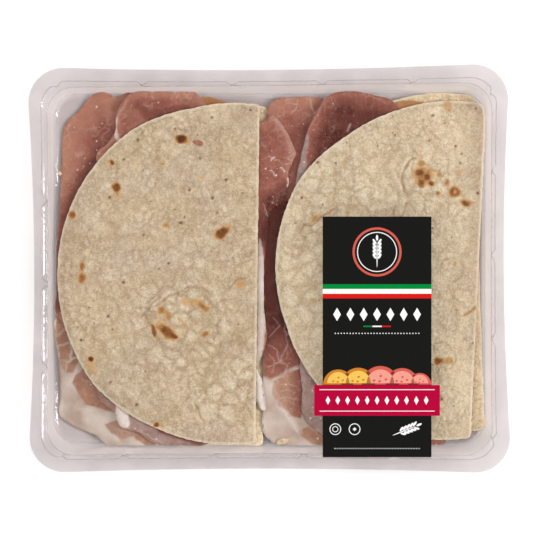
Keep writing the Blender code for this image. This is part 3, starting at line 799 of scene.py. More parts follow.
def ham_material():
    """Sliced cured ham: lean that deepens inwards, partly its own colour and partly painted shade near and
    between the flatbreads, fat lines with one painted sheen, veins, clear fat and white specks.
    """
    material, tree, shader, place = new_material("cured_ham")
    cloudy = mottle(tree, place, 6.0 * MM)
    # The lean's darkness: partly its own colour, partly painted shade near and between the flatbreads
    depth = worked(tree, "MULTIPLY_ADD", worked(tree, "SUBTRACT", cloudy, 0.5), 0.9, attribute(tree, "deep_and_shade"))
    colour = mixed(tree, rescaled(tree, depth, 0.0, 0.5), tone(176, 123, 102), tone(137, 80, 67))
    colour = mixed(tree, rescaled(tree, depth, 0.45, 1.0), colour, tone(73, 24, 13))
    brown = mixed(tree, rescaled(tree, cloudy, 0.4, 0.6), tone(146, 106, 83), tone(174, 132, 109))
    colour = stained(tree, colour, attribute(tree, "brown"), 0.9, brown)
    fibre = clouds(tree, place, 1.3 * MM, 4.0, 4.0, 0.65)
    colour = mixed(tree, rescaled(tree, fibre, 0.55, 0.74, 0.0, 0.22), colour, tone(200, 150, 130))
    colour = mixed(tree, rescaled(tree, fibre, 0.45, 0.28, 0.0, 0.22), colour, tone(102, 52, 42))
    web = cell_walls(tree, wandering(tree, place, 6 * MM, 2.0 * MM), 6.5 * MM)
    web = rescaled(tree, web, 0.055, 0.012)
    patchy = rescaled(tree, clouds(tree, place, 8 * MM, 6.0, 3.0), 0.47, 0.60)
    light_lean = rescaled(tree, attribute(tree, "deep_and_shade"), 0.70, 0.15, 0.30, 1.0)
    veins = worked(tree, "MULTIPLY", worked(tree, "MULTIPLY", web, patchy), light_lean)
    colour = stained(tree, colour, veins, 0.36, tone(206, 168, 150))
    clear = worked(tree, "MULTIPLY_ADD", worked(tree, "SUBTRACT", fibre, 0.5), 0.4, attribute(tree, "clear"),
                   clamp=True)
    clear = worked(tree, "MULTIPLY", clear, rescaled(tree, attribute(tree, "clear"), 0.0, 0.2))
    glassy = mixed(tree, rescaled(tree, cloudy, 0.42, 0.58), tone(134, 111, 102), tone(162, 143, 137))
    colour = mixed(tree, clear, colour, glassy)
    pale = worked(tree, "MULTIPLY_ADD", worked(tree, "SUBTRACT", fibre, 0.5), 0.3, attribute(tree, "pale"),
                  clamp=True)
    pale = worked(tree, "MULTIPLY", pale, rescaled(tree, attribute(tree, "pale"), 0.0, 0.3))
    melted = clouds(tree, place, 13 * MM, 12.0, 2.0)
    soft_fat = mixed(tree, rescaled(tree, melted, 0.36, 0.62), tone(172, 151, 136), tone(206, 192, 180))
    colour = mixed(tree, pale, colour, soft_fat)
    speckled = wandering(tree, place, 1.2 * MM, 0.35 * MM)
    specks = worked(tree, "MAXIMUM", dots(tree, speckled, 3.9 * MM, 0.46 * MM, 0.60),
                    worked(tree, "MULTIPLY", dots(tree, speckled, 2.1 * MM, 0.24 * MM, 0.5), 0.7))
    lean = worked(tree, "SUBTRACT", 1.0, attribute(tree, "pale"))
    lean = worked(tree, "MULTIPLY", lean, rescaled(tree, attribute(tree, "deep_and_shade"), 1.0, 0.7, 0.30, 1.0))
    colour = stained(tree, colour, worked(tree, "MULTIPLY", specks, lean), 0.85, tone(226, 200, 186))
    edge = rescaled(tree, attribute(tree, "rim"), 0.28, 0.03, 0.0, 0.25)
    edge = worked(tree, "MULTIPLY", edge, worked(tree, "SUBTRACT", 1.0, attribute(tree, "plain_rim")))
    colour = mixed(tree, edge, colour, tone(198, 158, 138))
    # Bright white fat lines, and one painted sheen
    fat_and_sheen = worked(tree, "MULTIPLY_ADD", worked(tree, "SUBTRACT", fibre, 0.5), 0.9, attribute(tree, "fat_and_sheen"),
                 clamp=True)
    colour = stained(tree, colour, fat_and_sheen, attribute(tree, "fat_and_sheen"), tone(224, 211, 203))
    connect(tree, shader.inputs["Base Color"], colour)
    connect(tree, shader.inputs["Roughness"], rescaled(tree, fibre, 0.3, 0.7, 0.36, 0.54))
    shader.inputs["Specular IOR Level"].default_value = 0.15
    height = worked(tree, "ADD", cloudy, worked(tree, "MULTIPLY", fibre, 0.45))
    height = worked(tree, "ADD", height, worked(tree, "MULTIPLY", veins, 0.2))
    connect(tree, shader.inputs["Normal"], bumped(tree, height, 0.5 * MM, 0.9))
    return material


def cheese_material():
    """Smooth sliced cheese with a slightly sweaty, uneven tint."""
    material, tree, shader, place = new_material("sliced_cheese")
    cloudy = mottle(tree, place, 8.0 * MM)
    colour = mixed(tree, rescaled(tree, cloudy, 0.4, 0.6), tone(180, 124, 66), tone(160, 104, 54))
    edge = rescaled(tree, attribute(tree, "rim"), 0.3, 0.05, 0.0, 0.4)
    connect(tree, shader.inputs["Base Color"], mixed(tree, edge, colour, tone(190, 146, 96)))
    connect(tree, shader.inputs["Roughness"], rescaled(tree, cloudy, 0.4, 0.6, 0.40, 0.52))
    connect(tree, shader.inputs["Normal"], bumped(tree, cloudy, 0.2 * MM, 0.5))
    return material


# A thin sheet shines on both its faces, and only its near one is shaded
BOTH_FACES = 1.9
# The most that a steep wall mirrors: more would fill it with the dark food beside it
MOST_SHINE = 0.18
# How much of the plastic's haze is light that comes through it
HAZE_THROUGH = 0.6
# What a sheet's sharp bend lets through: it bends the light away, so it reads as a thin darker line
BEND_TINT = tone(206, 196, 194)


def clear_material(name, tint, haze_colour, haze, slant_haze, gloss_ior):
    """Thin clear plastic: tinted and clear straight on, hazy and glossy at a slant, darker in its bends."""
    material, tree, shader, place = new_material(name)
    wave = clouds(tree, place, 18 * MM, 2.0, 2.0)
    shader.inputs["Base Color"].default_value = haze_colour
    shader.inputs["Roughness"].default_value = 0.35
    shader.inputs["Specular IOR Level"].default_value = 0.2
    bend = attribute(tree, "bend")
    clear = add_node(tree, "BsdfTransparent")
    thin = mixed(tree, rescaled(tree, wave, 0.3, 0.7), tint, tuple(0.97 * v for v in tint[:3]) + (1.0,))
    connect(tree, clear.inputs["Color"], mixed(tree, bend, thin, BEND_TINT))
    gloss = add_node(tree, "BsdfGlossy", {"Roughness": 0.05})
    facing = worked(tree, "SUBTRACT", 1.0, add_node(tree, "NewGeometry").outputs["Backfacing"])
    shine = worked(tree, "MULTIPLY", add_node(tree, "Fresnel", {"IOR": gloss_ior}).outputs[0], facing)
    shine = worked(tree, "MINIMUM", worked(tree, "MULTIPLY", shine, BOTH_FACES), MOST_SHINE)
    seen = add_node(tree, "LightPath").outputs["Is Camera Ray"]
    shine = worked(tree, "MULTIPLY", shine, seen)
    slant = add_node(tree, "LayerWeight", {"Blend": 0.5}).outputs["Facing"]
    slant = worked(tree, "MULTIPLY", worked(tree, "POWER", slant, 2.0), slant_haze)
    through = add_node(tree, "BsdfTranslucent", {"Color": haze_colour})
    milky = add_node(tree, "MixShader", {"Fac": HAZE_THROUGH})
    tree.links.new(shader.outputs[0], milky.inputs[1])
    tree.links.new(through.outputs[0], milky.inputs[2])
    hazy = add_node(tree, "MixShader")
    even_haze = rescaled(tree, wave, 0.3, 0.7, 0.8 * haze, 1.2 * haze)
    connect(tree, hazy.inputs[0], worked(tree, "ADD", even_haze, slant))
    tree.links.new(clear.outputs[0], hazy.inputs[1])
    tree.links.new(milky.outputs[0], hazy.inputs[2])
    shiny = add_node(tree, "MixShader")
    connect(tree, shiny.inputs[0], shine)
    tree.links.new(hazy.outputs[0], shiny.inputs[1])
    tree.links.new(gloss.outputs[0], shiny.inputs[2])
    tree.links.new(shiny.outputs[0], tree.nodes["Material Output"].inputs["Surface"])
    return material


def print_material(name, colour, other):
    """Printing ink or card: nearly even, with the faint unevenness of satin paper."""
    material, tree, shader, place = new_material(name)
    grain = clouds(tree, place, 0.5 * MM, 6.0, 2.0)
    connect(tree, shader.inputs["Base Color"], mixed(tree, rescaled(tree, grain, 0.3, 0.7), colour, other))
    connect(tree, shader.inputs["Roughness"], rescaled(tree, grain, 0.3, 0.7, 0.50, 0.62))
    shader.inputs["Specular IOR Level"].default_value = 0.02
    connect(tree, shader.inputs["Normal"], bumped(tree, grain, 0.02 * MM, 0.4))
    return material


FLATBREAD = flatbread_material()
HAM = ham_material()
CHEESE = cheese_material()
TRAY_PLASTIC = clear_material("clear_tray_plastic", tone(240, 236, 236), tone(252, 247, 245),
                              0.035, 0.95, 1.5)
FILM_PLASTIC = clear_material("clear_film_plastic", tone(254, 254, 254), tone(240, 240, 240),
                              0.002, 0.0, 1.10)
BLACK_CARD = print_material("black_card", tone(19, 19, 18), tone(23, 23, 21))
INK_TONES = {
    "white": ((230, 229, 227), (222, 221, 218)),
    "crimson": ((167, 5, 52), (158, 4, 47)),
    "green": ((0, 128, 54), (0, 118, 48)),
    "red": ((200, 26, 20), (188, 22, 18)),
    "yellow": ((222, 180, 86), (212, 168, 74)),
    "orange": ((190, 120, 42), (178, 108, 36)),
    "coral": ((196, 88, 74), (184, 78, 66)),
    "pink": ((220, 146, 130), (210, 134, 120)),
}
INKS = {ink: print_material(f"{ink}_ink", *(tone(*shade) for shade in tones))
        for ink, tones in INK_TONES.items()}


# Flatbreads

# Toasted marks of each upper flatbread: x, y, length, width and turn, in millimetres and degrees, and
# how dark the mark is.
LEFT_TOAST = (
    (-50.9, 74.5, 5.8, 4.0, -5, 1.2), (-48.5, 73.6, 4.5, 3.5, -20, 0.6),
    (-90.6, 60.7, 2.9, 2.8, 0, 0.9), (-92.0, 61.0, 3.4, 2.4, 0, 0.45),
    (-88.0, 46.6, 4.2, 5.0, 10, 1.0), (-87.4, 42.5, 2.8, 4.8, 0, 0.5),
    (-113.4, 30.8, 3.6, 4.6, 0, 0.8),
    (-27.2, 20.6, 8.6, 5.0, 33, 1.0), (-29.5, 18.8, 5.0, 3.4, 30, 0.6),
    (-107.8, 1.2, 3.2, 5.2, 0, 0.72), (-107.8, -5.5, 4.2, 6.2, 0, 0.75), (-103.8, 8.6, 2.4, 4.0, 0, 0.28),
    (-61.5, 60.0, 2.4, 2.4, 0, 0.6), (-59.5, 24.7, 4.0, 2.8, -15, 0.62),
    (-38.8, 52.6, 4.6, 2.6, 10, 0.32), (-76.6, 57.0, 2.4, 1.8, -10, 0.35),
    (-62.3, -23.9, 4.0, 4.6, 0, 0.68), (-58.2, -27.1, 3.2, 5.6, 0, 0.60), (-60.2, -25.4, 4.4, 3.0, -30, 0.5),
    (-63.0, -29.4, 2.2, 5.0, 0, 0.30), (-58.8, -36.4, 12.2, 5.6, -37, 0.85),
    (-60.4, -35.8, 5.2, 3.4, -37, 1.0), (-55.2, -38.9, 4.8, 3.0, -25, 1.0),
    (-64.0, -33.6, 3.0, 3.6, -40, 0.6),
    (-66.7, -35.5, 2.2, 7.4, 20, 1.0), (-66.0, -37.4, 1.6, 3.6, 20, 1.15),
    (-48.0, -19.1, 8.0, 4.6, 0, 0.36), (-42.8, -19.3, 6.4, 3.8, -10, 0.48),
    (-38.7, -21.6, 7.0, 3.8, -42, 0.68), (-36.5, -23.4, 3.8, 3.6, 0, 0.62),
    (-52.1, -21.5, 3.0, 2.4, 0, 0.25),
    (-51.8, -29.6, 2.4, 3.6, 20, 0.46), (-49.2, -32.6, 3.2, 2.6, 0, 0.42), (-49.2, -37.5, 2.4, 6.0, 0, 0.27),
    (-42.5, -31.5, 2.3, 2.1, 0, 0.46), (-46.0, -25.5, 3.0, 2.0, 0, 0.22), (-37.1, -37.6, 4.8, 3.3, 22, 0.68),
    (-16.7, -8.9, 5.6, 4.8, 15, 0.46),
    (-102.7, -52.0, 3.2, 2.8, -20, 1.2), (-102.6, -55.4, 5.0, 5.8, -40, 0.40),
    (-101.2, -58.6, 4.4, 4.6, 20, 0.36),
    (-64.7, -89.4, 3.1, 2.8, 0, 0.95), (-61.5, -90.4, 2.6, 1.8, 0, 0.5),
)
RIGHT_TOAST = (
    (102.6, 93.8, 4.6, 6.6, 0, 0.40), (103.8, 91.0, 2.4, 2.0, 0, 0.58),
    (70.8, 87.0, 2.6, 1.8, 0, 0.42), (65.6, 76.2, 3.6, 2.2, 40, 0.30),
    (85.8, 67.0, 3.4, 3.0, 30, 0.30), (87.6, 64.0, 2.4, 2.8, 0, 0.40), (87.0, 60.0, 5.0, 3.4, 0, 0.62),
    (88.6, 53.4, 10.4, 9.4, -30, 0.66), (86.6, 55.0, 6.0, 4.6, 0, 0.88), (86.8, 55.0, 2.8, 2.8, 0, 1.05),
    (92.7, 56.8, 7.0, 1.8, -8, 0.46), (83.2, 55.8, 3.0, 2.4, 0, 0.42), (90.5, 52.5, 4.6, 4.2, -30, 0.92),
    (87.3, 49.3, 4.6, 4.6, 0, 0.90), (93.1, 48.9, 3.8, 2.8, 0, 0.88), (87.6, 47.2, 3.6, 2.4, 0, 0.70),
    (97.5, 53.9, 2.7, 2.8, 0, 0.55), (102.0, 49.6, 3.4, 3.7, 0, 0.66), (108.7, 55.0, 3.4, 3.0, 0, 0.42),
    (106.5, 43.9, 6.0, 5.8, 0, 0.86), (96.9, 43.3, 2.9, 2.8, 30, 0.64), (113.2, 37.5, 6.0, 3.5, -20, 0.78),
    (112.6, 37.8, 3.2, 2.0, -20, 1.0), (117.0, 37.7, 3.0, 1.8, 0, 0.42), (119.0, 50.2, 5.0, 1.4, 40, 0.34),
    (118.6, 51.4, 4.6, 1.3, -42, 0.26), (98.6, 37.2, 2.0, 1.6, 0, 0.30),
    (53.5, 49.8, 3.8, 2.2, -20, 0.36), (49.8, 36.0, 3.4, 2.6, 20, 0.36), (45.2, 32.2, 2.6, 3.2, 0, 0.42),
    (26.0, 28.6, 6.4, 3.0, 32, 0.52), (24.6, 18.4, 2.6, 1.6, 0, 0.34),
    (25.0, -18.1, 3.4, 2.6, 0, 0.42), (16.0, -1.8, 3.6, 1.6, 40, 0.30),
    (96.9, -53.2, 5.0, 4.2, 3, 0.86), (103.0, -53.3, 5.6, 4.4, 0, 0.50), (99.8, -53.2, 4.0, 3.0, 0, 0.5),
    (114.0, -25.6, 5.8, 1.7, 25, 0.45), (117.6, -23.4, 2.8, 2.4, 30, 0.42),
    (107.0, 2.8, 2.5, 3.6, 0, 0.44), (120.8, -29.6, 1.7, 3.2, 0, 0.5), (106.0, -16.0, 3.0, 2.0, 0, 0.25),
    (93.0, -30.0, 3.0, 2.0, 0, 0.25),
)
# Middles of marks that the griddle left paler: x, y, length, width, turn and how much
PALER_MIDDLES = {"left": (), "right": ((106.7, 43.8, 2.4, 3.0, 0, 0.34),)}
# Pin holes that stand out, as x and y
LEFT_PINS = (
    (-56.6, 86.5), (-54.3, 80.2), (-75.6, 73.9), (-63.0, 69.9), (-83.9, 62.7), (-46.0, 45.1), (-72.7, 56.6),
    (-39.9, 63.3), (-32.8, 40.5), (-54.1, 33.9), (-48.8, 29.3), (-50.9, 26.2), (-68.4, 38.5), (-72.5, 19.3),
    (-25.0, 50.9), (-41.4, 76.9), (-33.1, 86.8), (-10.9, 91.1), (-15.8, 43.3), (-103.8, -22.6),
    (-92.6, -27.4),
    (-110.0, -33.6), (-90.2, -35.1), (-108.2, -41.2), (-71.3, -58.9), (-91.4, -65.3), (-76.1, -78.2),
    (-14.4, -59.5), (-29.9, 31.9), (-92.0, 40.8), (-104.0, 22.0), (-58.0, 3.0), (-84.0, -8.0),
    (-18.0, -32.0),
)
RIGHT_PINS = (
    (70.7, 77.9), (72.2, 76.7), (107.2, 70.4), (101.0, 83.8), (118.8, 92.0), (120.0, 43.4), (104.8, 18.0),
    (38.2, 60.6), (27.6, 61.0), (62.0, 70.4), (110.6, 66.0), (94.0, 88.0), (54.0, 62.0), (117.0, -43.0),
    (90.6, -98.0), (106.0, -79.0), (18.5, 40.6), (36.4, 21.0), (15.0, 26.0), (109.6, 60.6), (99.0, -75.0),
)
# Thin creases and blister rims, painted as dark lines: partly browning, partly painted shade beside the
# ridges; points, and how strong
LEFT_SHADED_CREASES = (
    (((-42.3, -77.9), (-40.2, -82.2), (-37.7, -88.3)), 0.6),
    (((-76.2, 12.9), (-69.9, -3.2), (-65.3, -8.9), (-60.7, -15.8)), 0.2),
    (((-73.2, -27.7), (-71, -24.8), (-66.8, -19.7), (-63, -15.9)), 0.55),
    (((-65.5, -21.6), (-62, -19.7), (-58.8, -16.2), (-51.8, -14), (-48.6, -11.4), (-46.7, -10.5)), 0.5),
    (((-46.7, -10.5), (-39, -10.8), (-34.6, -13.6)), 0.3),
    (((-36.0, -17.0), (-32.0, -21.0), (-29.8, -26.1), (-28.6, -31.0)), 0.4),
    (((-29.7, -31.9), (-30.1, -36.3), (-32, -40.8)), 0.45),
    (((-71, -28), (-69.1, -31.5), (-63.9, -40.1), (-62.3, -43.4)), 0.5),
    (((-62.3, -43.4), (-54, -47.6), (-43, -47.0)), 0.25),
    (((-13.0, -5.6), (-19.5, -6.6), (-23.0, -11.4)), 0.4),
    (((-82.0, 64.0), (-76.0, 68.6), (-71.0, 71.0)), 0.25),
    (((-21.0, 28.0), (-19.0, 22.0), (-22.0, 14.0)), 0.3),
)
RIGHT_SHADED_CREASES = (
    (((84.4, 64), (80.6, 62), (78.4, 58.9), (76.4, 54.4), (76.1, 50.5), (77.1, 45.5), (79.3, 42.9)), 0.6),
    (((82.2, 68.6), (84.6, 66.6), (86.0, 64.6)), 0.4),
    (((80.4, 61.4), (78.4, 57.6)), 0.8),
    (((93.4, 60.6), (97.6, 62.6), (103.6, 62.4), (105.0, 60.6)), 0.25),
    (((88.6, 86.0), (88.2, 81.0), (89.6, 77.6)), 0.35),
    (((93.0, 78.0), (98.6, 73.6)), 0.4),
    (((89.4, 83.0), (92.0, 80.0), (96.9, 75.0)), 0.35),
    (((79.6, 39.0), (77.8, 33.6), (76.0, 29.0)), 0.45),
    (((72.0, 36.0), (71.0, 29.6)), 0.35),
    (((37.4, 34.0), (31.0, 30.6), (24.0, 24.0), (20.0, 25.4)), 0.7),
    (((20.0, 25.4), (17.4, 20.0), (21.0, 17.4)), 0.5),
    (((94.4, -43.0), (100.8, -42.0), (106.2, -48.0), (107.0, -53.6), (103.6, -58.4)), 0.4),
    (((94.4, -43.0), (95.2, -48.4)), 0.35),
    (((98.4, 1.8), (100.6, 5.0), (105.0, 6.2), (109.6, 4.6), (111.6, 0.6), (110.6, -4.4), (106.4, -7.6)),
     0.35),
    (((107.0, -23.0), (109.6, -27.6), (114.6, -26.0), (119.0, -21.6)), 0.45),
    (((103.0, -10.0), (106.0, -18.0), (104.6, -25.0)), 0.3),
    (((8.0, 14.0), (13.6, 10.0), (12.0, 4.0)), 0.35),
)
# Raised folds of the blisters' rims: points, width and height; they are also painted paler, as painted
# highlights
RIDGES = {
    "left": (
        (((-66.8, -18.4), (-58.8, -14.2), (-51.8, -12.0), (-46.7, -8.8), (-39, -9.0)), 2.6, 0.30),
        (((-39, -9.0), (-32, -13.6), (-28.6, -20.6), (-26.2, -28.0), (-26.6, -36.0)), 3.4, 0.42),
    ),
    "right": (
        (((85.6, 65.6), (79.6, 63.0), (76.8, 58.6), (74.8, 54), (74.6, 49), (76.0, 43.6)), 2.4, 0.32),
        (((88.4, 62.0), (82.0, 60.6), (79.6, 56.6), (78.0, 52), (78.6, 46.6)), 2.2, 0.22),
    ),
}
# Blisters of the dough that stand up: x, y, length, width, turn and height
LEFT_BLISTERS = (
    (-50.0, -27.0, 40, 38, 0, 0.55), (-22.0, -60.0, 20, 16, 20, 0.3), (-80.0, 30.0, 24, 18, 40, 0.25),
    (-30.0, 30.0, 26, 20, 0, 0.3), (-60.0, 55.0, 22, 18, 0, 0.25), (-75.0, -55.0, 24, 16, 40, 0.25),
    (-16.0, -9.0, 14, 12, 0, 0.3), (-45.0, -82.0, 26, 18, 0, 0.3), (-97.0, -20.0, 18, 22, 0, 0.25),
)
RIGHT_BLISTERS = (
    (92.0, 48.0, 34, 36, 0, 0.5), (100.0, -53.0, 16, 17, 0, 0.45), (28.0, 27.0, 20, 8, 32, 0.55),
    (31.0, 4.0, 14, 12, 0, 0.35), (36.0, -16.0, 12, 12, 0, 0.35), (22.0, 8.0, 10, 12, 0, 0.3),
    (60.0, 60.0, 24, 18, 20, 0.3), (113.0, -24.0, 16, 12, 20, 0.35), (94.0, -28.0, 14, 24, 0, 0.3),
    (94.0, 20.0, 12, 22, 0, 0.3), (46.0, 44.0, 18, 14, 0, 0.3), (28.0, -32.0, 12, 10, 0, 0.3),
)
# How much larger a mark's soft scorch is than its listed size
MARK_GROWTH = 1.28
# Where each upper flatbread is bubbly: x, y, length, width and turn
BUBBLY = {
    "left": ((-50, -30, 60, 60, 0), (-20, -70, 50, 50, 0)),
    "right": ((28, 0, 46, 100, -10), (90, 50, 50, 50, 0), (40, 45, 50, 40, 30)),
}
# Where each is painted paler, partly as pale flour and partly as painted light on the right one's right
# side, which faces the light: x, y, length, width and turn
FLOURED_AND_LIT = {
    "left": ((-38, 95, 60, 16, 8),),
    "right": ((118, 20, 22, 190, 0), (98, 75, 50, 50, 0), (112, -60, 36, 90, 0), (60, -108, 90, 14, 0)),
}
# How much paler each is painted all over; on the right one, partly painted light
EVEN_FLOUR_AND_LIGHT = {"left": 0.0, "right": 0.64}
# How pale the rim of each one's cut side is painted, against its round rim: partly pale crust, partly
# painted light where the cut side faces the light
PALE_CUT = {"left": 0.6, "right": 1.4}


def covered(sheet, ovals):
    places = sheet.warped(4, 22)
    return np.max([blot(places, *oval) for oval in ovals], axis=0)


def bake_marks(sheet, side, toast, pins, creases, blisters):
    """Paint a flatbread's toasted marks, its wrinkles and creases with painted shade in them, painted
    highlights on its puffs and ridges and painted light on its rims and pale patches, and raise its
    blisters.
    """
    places = sheet.warped(0.8, 3.2)
    heat = np.zeros(len(places))
    for x, y, length, width, turn, darkness in toast:
        size = (MARK_GROWTH * length, MARK_GROWTH * width)
        heat = np.maximum(heat, darkness * blot(places, x, y, *size, turn))
    for *oval, share in PALER_MIDDLES[side]:
        heat -= share * blot(places, *oval)
    holes = np.zeros(len(places))
    for k, (x, y) in enumerate(pins):
        size = 0.95 + 0.4 * (k % 3)
        holes = np.maximum(holes, blot(sheet.shape_mm, x, y, size, size))
    # Crease lines, painted darker as browning and painted shade, and sunk a little
    shaded_fold = np.zeros(len(places))
    for points, strength in creases:
        shaded_fold = np.maximum(shaded_fold, min(1.5 * strength, 1) * stroke(places, points, 0.25, 0.75))
    large = bubbles(sheet.warped(2.2, 9) * MM, 9 * MM, sheet.seed)
    small = bubbles(sheet.warped(1.4, 5) * MM, 4.2 * MM, sheet.seed + 7)
    bubbly = 0.35 + 0.65 * covered(sheet, BUBBLY[side])
    patchy = np.clip(0.5 + 1.2 * fine_noise(sheet.places, 13 * MM, sheet.seed + 9), 0, 1)
    paint(sheet.piece, "toast", heat)
    paint(sheet.piece, "pin", np.clip(1.3 * holes, 0, 1))
    paint(sheet.piece, "crease", shaded_fold)
    # Paler patches, partly painted light on the lit right side
    paint(sheet.piece, "flour_and_light", np.maximum(covered(sheet, FLOURED_AND_LIT[side]), EVEN_FLOUR_AND_LIGHT[side]))
    # Creases between the bubbles, painted darker as browning and painted shade
    paint(sheet.piece, "web", np.clip(bubbly * (1 - large) ** 2 + 0.7 * patchy * (1 - small) ** 2, 0, 1))
    raised = np.zeros(len(places))
    for points, width, height in RIDGES[side]:
        raised = np.maximum(raised, height * ridge(sheet.warped(0.6, 4), points, width))
    # Painted highlights: the bubbles' tops and the ridges painted paler
    puffy_highlight = 0.7 * bubbly * large ** 2 + 0.5 * patchy * small ** 2
    paint(sheet.piece, "puff_highlight", np.clip(puffy_highlight + 3.2 * raised, 0, 1))
    paint(sheet.piece, "crumb_and_light", np.zeros(len(places)))
    # The rims painted paler, partly as painted light, most on the right one's cut side
    cut_side = sheet.outline[:, 0].max() / MM - sheet.shape_mm[:, 0]
    near_cut = np.clip((5 - cut_side) / 3, 0, 1)
    paint(sheet.piece, "rim_light_and_crust", 1 + (PALE_CUT[side] - 1) * near_cut)
    lift = np.zeros(len(places))
    for x, y, length, width, turn, height in blisters:
        dome = np.clip(1.5 * blot(sheet.warped(1.2, 7), x, y, length, width, turn), 0, 1)
        lift = np.maximum(lift, height * dome)
    lift += 1.5 * raised
    lift += 0.85 * bubbly * (large - 0.7) + 0.46 * patchy * (small - 0.7)
    lift -= 0.22 * shaded_fold
    lift += 0.32 * fine_noise(sheet.places, 4.8 * MM, sheet.seed, 3)
    lift += 0.30 * fine_noise(sheet.places, 19 * MM, sheet.seed + 3)
    lift -= 0.22 * np.clip(heat, 0, 1)
    sheet.relief += lift * MM


def plain_bread_marks(sheet):
    paint(sheet.piece, "toast", np.clip(fine_noise(sheet.places, 14 * MM, sheet.seed) - 0.25, 0, 1) * 0.7)
    # The lower flatbreads' pale crumb colour is partly painted light against the shade under the upper ones,
    # and their rims are painted paler
    for name, value in (("crease", 0), ("pin", 0), ("web", 0), ("flour_and_light", 0), ("puff_highlight", 0), ("rim_light_and_crust", 0.6),
                        ("crumb_and_light", 1.0)):
        paint(sheet.piece, name, np.full(len(sheet.places), value))
    sheet.relief += 0.12 * MM * fine_noise(sheet.places, 6 * MM, sheet.seed, 2)


def lower_flatbreads():
    for side, seed in (("left", 21.0), ("right", 27.0)):
        name = f"{side}_flatbread_bottom"
        sheet = Sheet(f"{side}_lower_flatbread", name, HIDDEN_SPACING, (0.35 * MM, 5 * MM), seed)
        plain_bread_marks(sheet)
        finish(sheet.lay(0.6 * MM, 0.6), FLATBREAD)


def cheeses():
    for side, seed in (("left", 31.0), ("right", 35.0)):
        sheet = Sheet(f"{side}_cheese_slice", f"{side}_cheese", HIDDEN_SPACING, (0.2 * MM, 8 * MM), seed)
        finish(sheet.lay(0.7 * MM), CHEESE)


def upper_flatbreads():
    marks = {
        "left": (41.0, LEFT_TOAST, LEFT_PINS, LEFT_SHADED_CREASES, LEFT_BLISTERS),
        "right": (47.0, RIGHT_TOAST, RIGHT_PINS, RIGHT_SHADED_CREASES, RIGHT_BLISTERS),
    }
    for side, (seed, *spots) in marks.items():
        name = f"{side}_flatbread_top"
        sheet = Sheet(f"{side}_upper_flatbread", name, BREAD_SPACING, (0.32 * MM, 2.6 * MM), seed)
        bake_marks(sheet, side, *spots)
        finish(sheet.lay(0.45 * MM, 0.6), FLATBREAD)


# Ham. Each slice's fields: the first is how dark its lean is, partly painted shade near and between the
# flatbreads; brown its dry brown lean, clear its clear fat, pale its soft white fat; the fifth its bright
# white lines, one of them a painted sheen; and plain_rim where its rim isn't lighter.
HAM_FIELDS = ("deep_and_shade", "brown", "clear", "pale", "fat_and_sheen", "plain_rim")


class Slice(Sheet):
    """A slice of cured ham with painted fields."""

    def __init__(self, name, node, seed, dents=()):
        super().__init__(name, node, HAM_SPACING, (0.35 * MM, 5.0 * MM), seed, dents)
        self.fields = {key: np.zeros(len(self.places)) for key in HAM_FIELDS}
        self.drawn = self.warped(0.6, 3.5)
        self.relief += 0.22 * MM * fine_noise(self.places, 13 * MM, seed, 2)

    def line(self, field, points, width, strength=1.0, soft=0.5):
        cover = strength * stroke(self.drawn, points, width, soft)
        self.fields[field] = np.maximum(self.fields[field], cover)

    def area(self, field, points, strength=1.0, soft=1.2):
        cover = strength * patch(self.drawn, points, soft)
        self.fields[field] = np.maximum(self.fields[field], cover)

    def wipe(self, field, points, soft=1.0):
        """Take a field away inside a patch."""
        self.fields[field] *= 1 - patch(self.drawn, points, soft)

    def deepen(self, start, end, low=0.0, high=1.0):
        """Darken the lean with its distance from the rim, in towards the flatbread over it: partly the
        lean's own colour, partly painted shade.
        """
        share = np.clip((self.inward / MM - start) / (end - start), 0, 1)
        self.fields["deep_and_shade"] = np.maximum(self.fields["deep_and_shade"], low + (high - low) * share)

    def raise_along(self, points, width, height):
        self.relief += height * MM * ridge(self.drawn, points, width)

    def done(self, slot="cured_ham"):
        for key, values in self.fields.items():
            paint(self.piece, key, values)
        return finish(self.lay(0.5 * MM, 0.4), HAM)


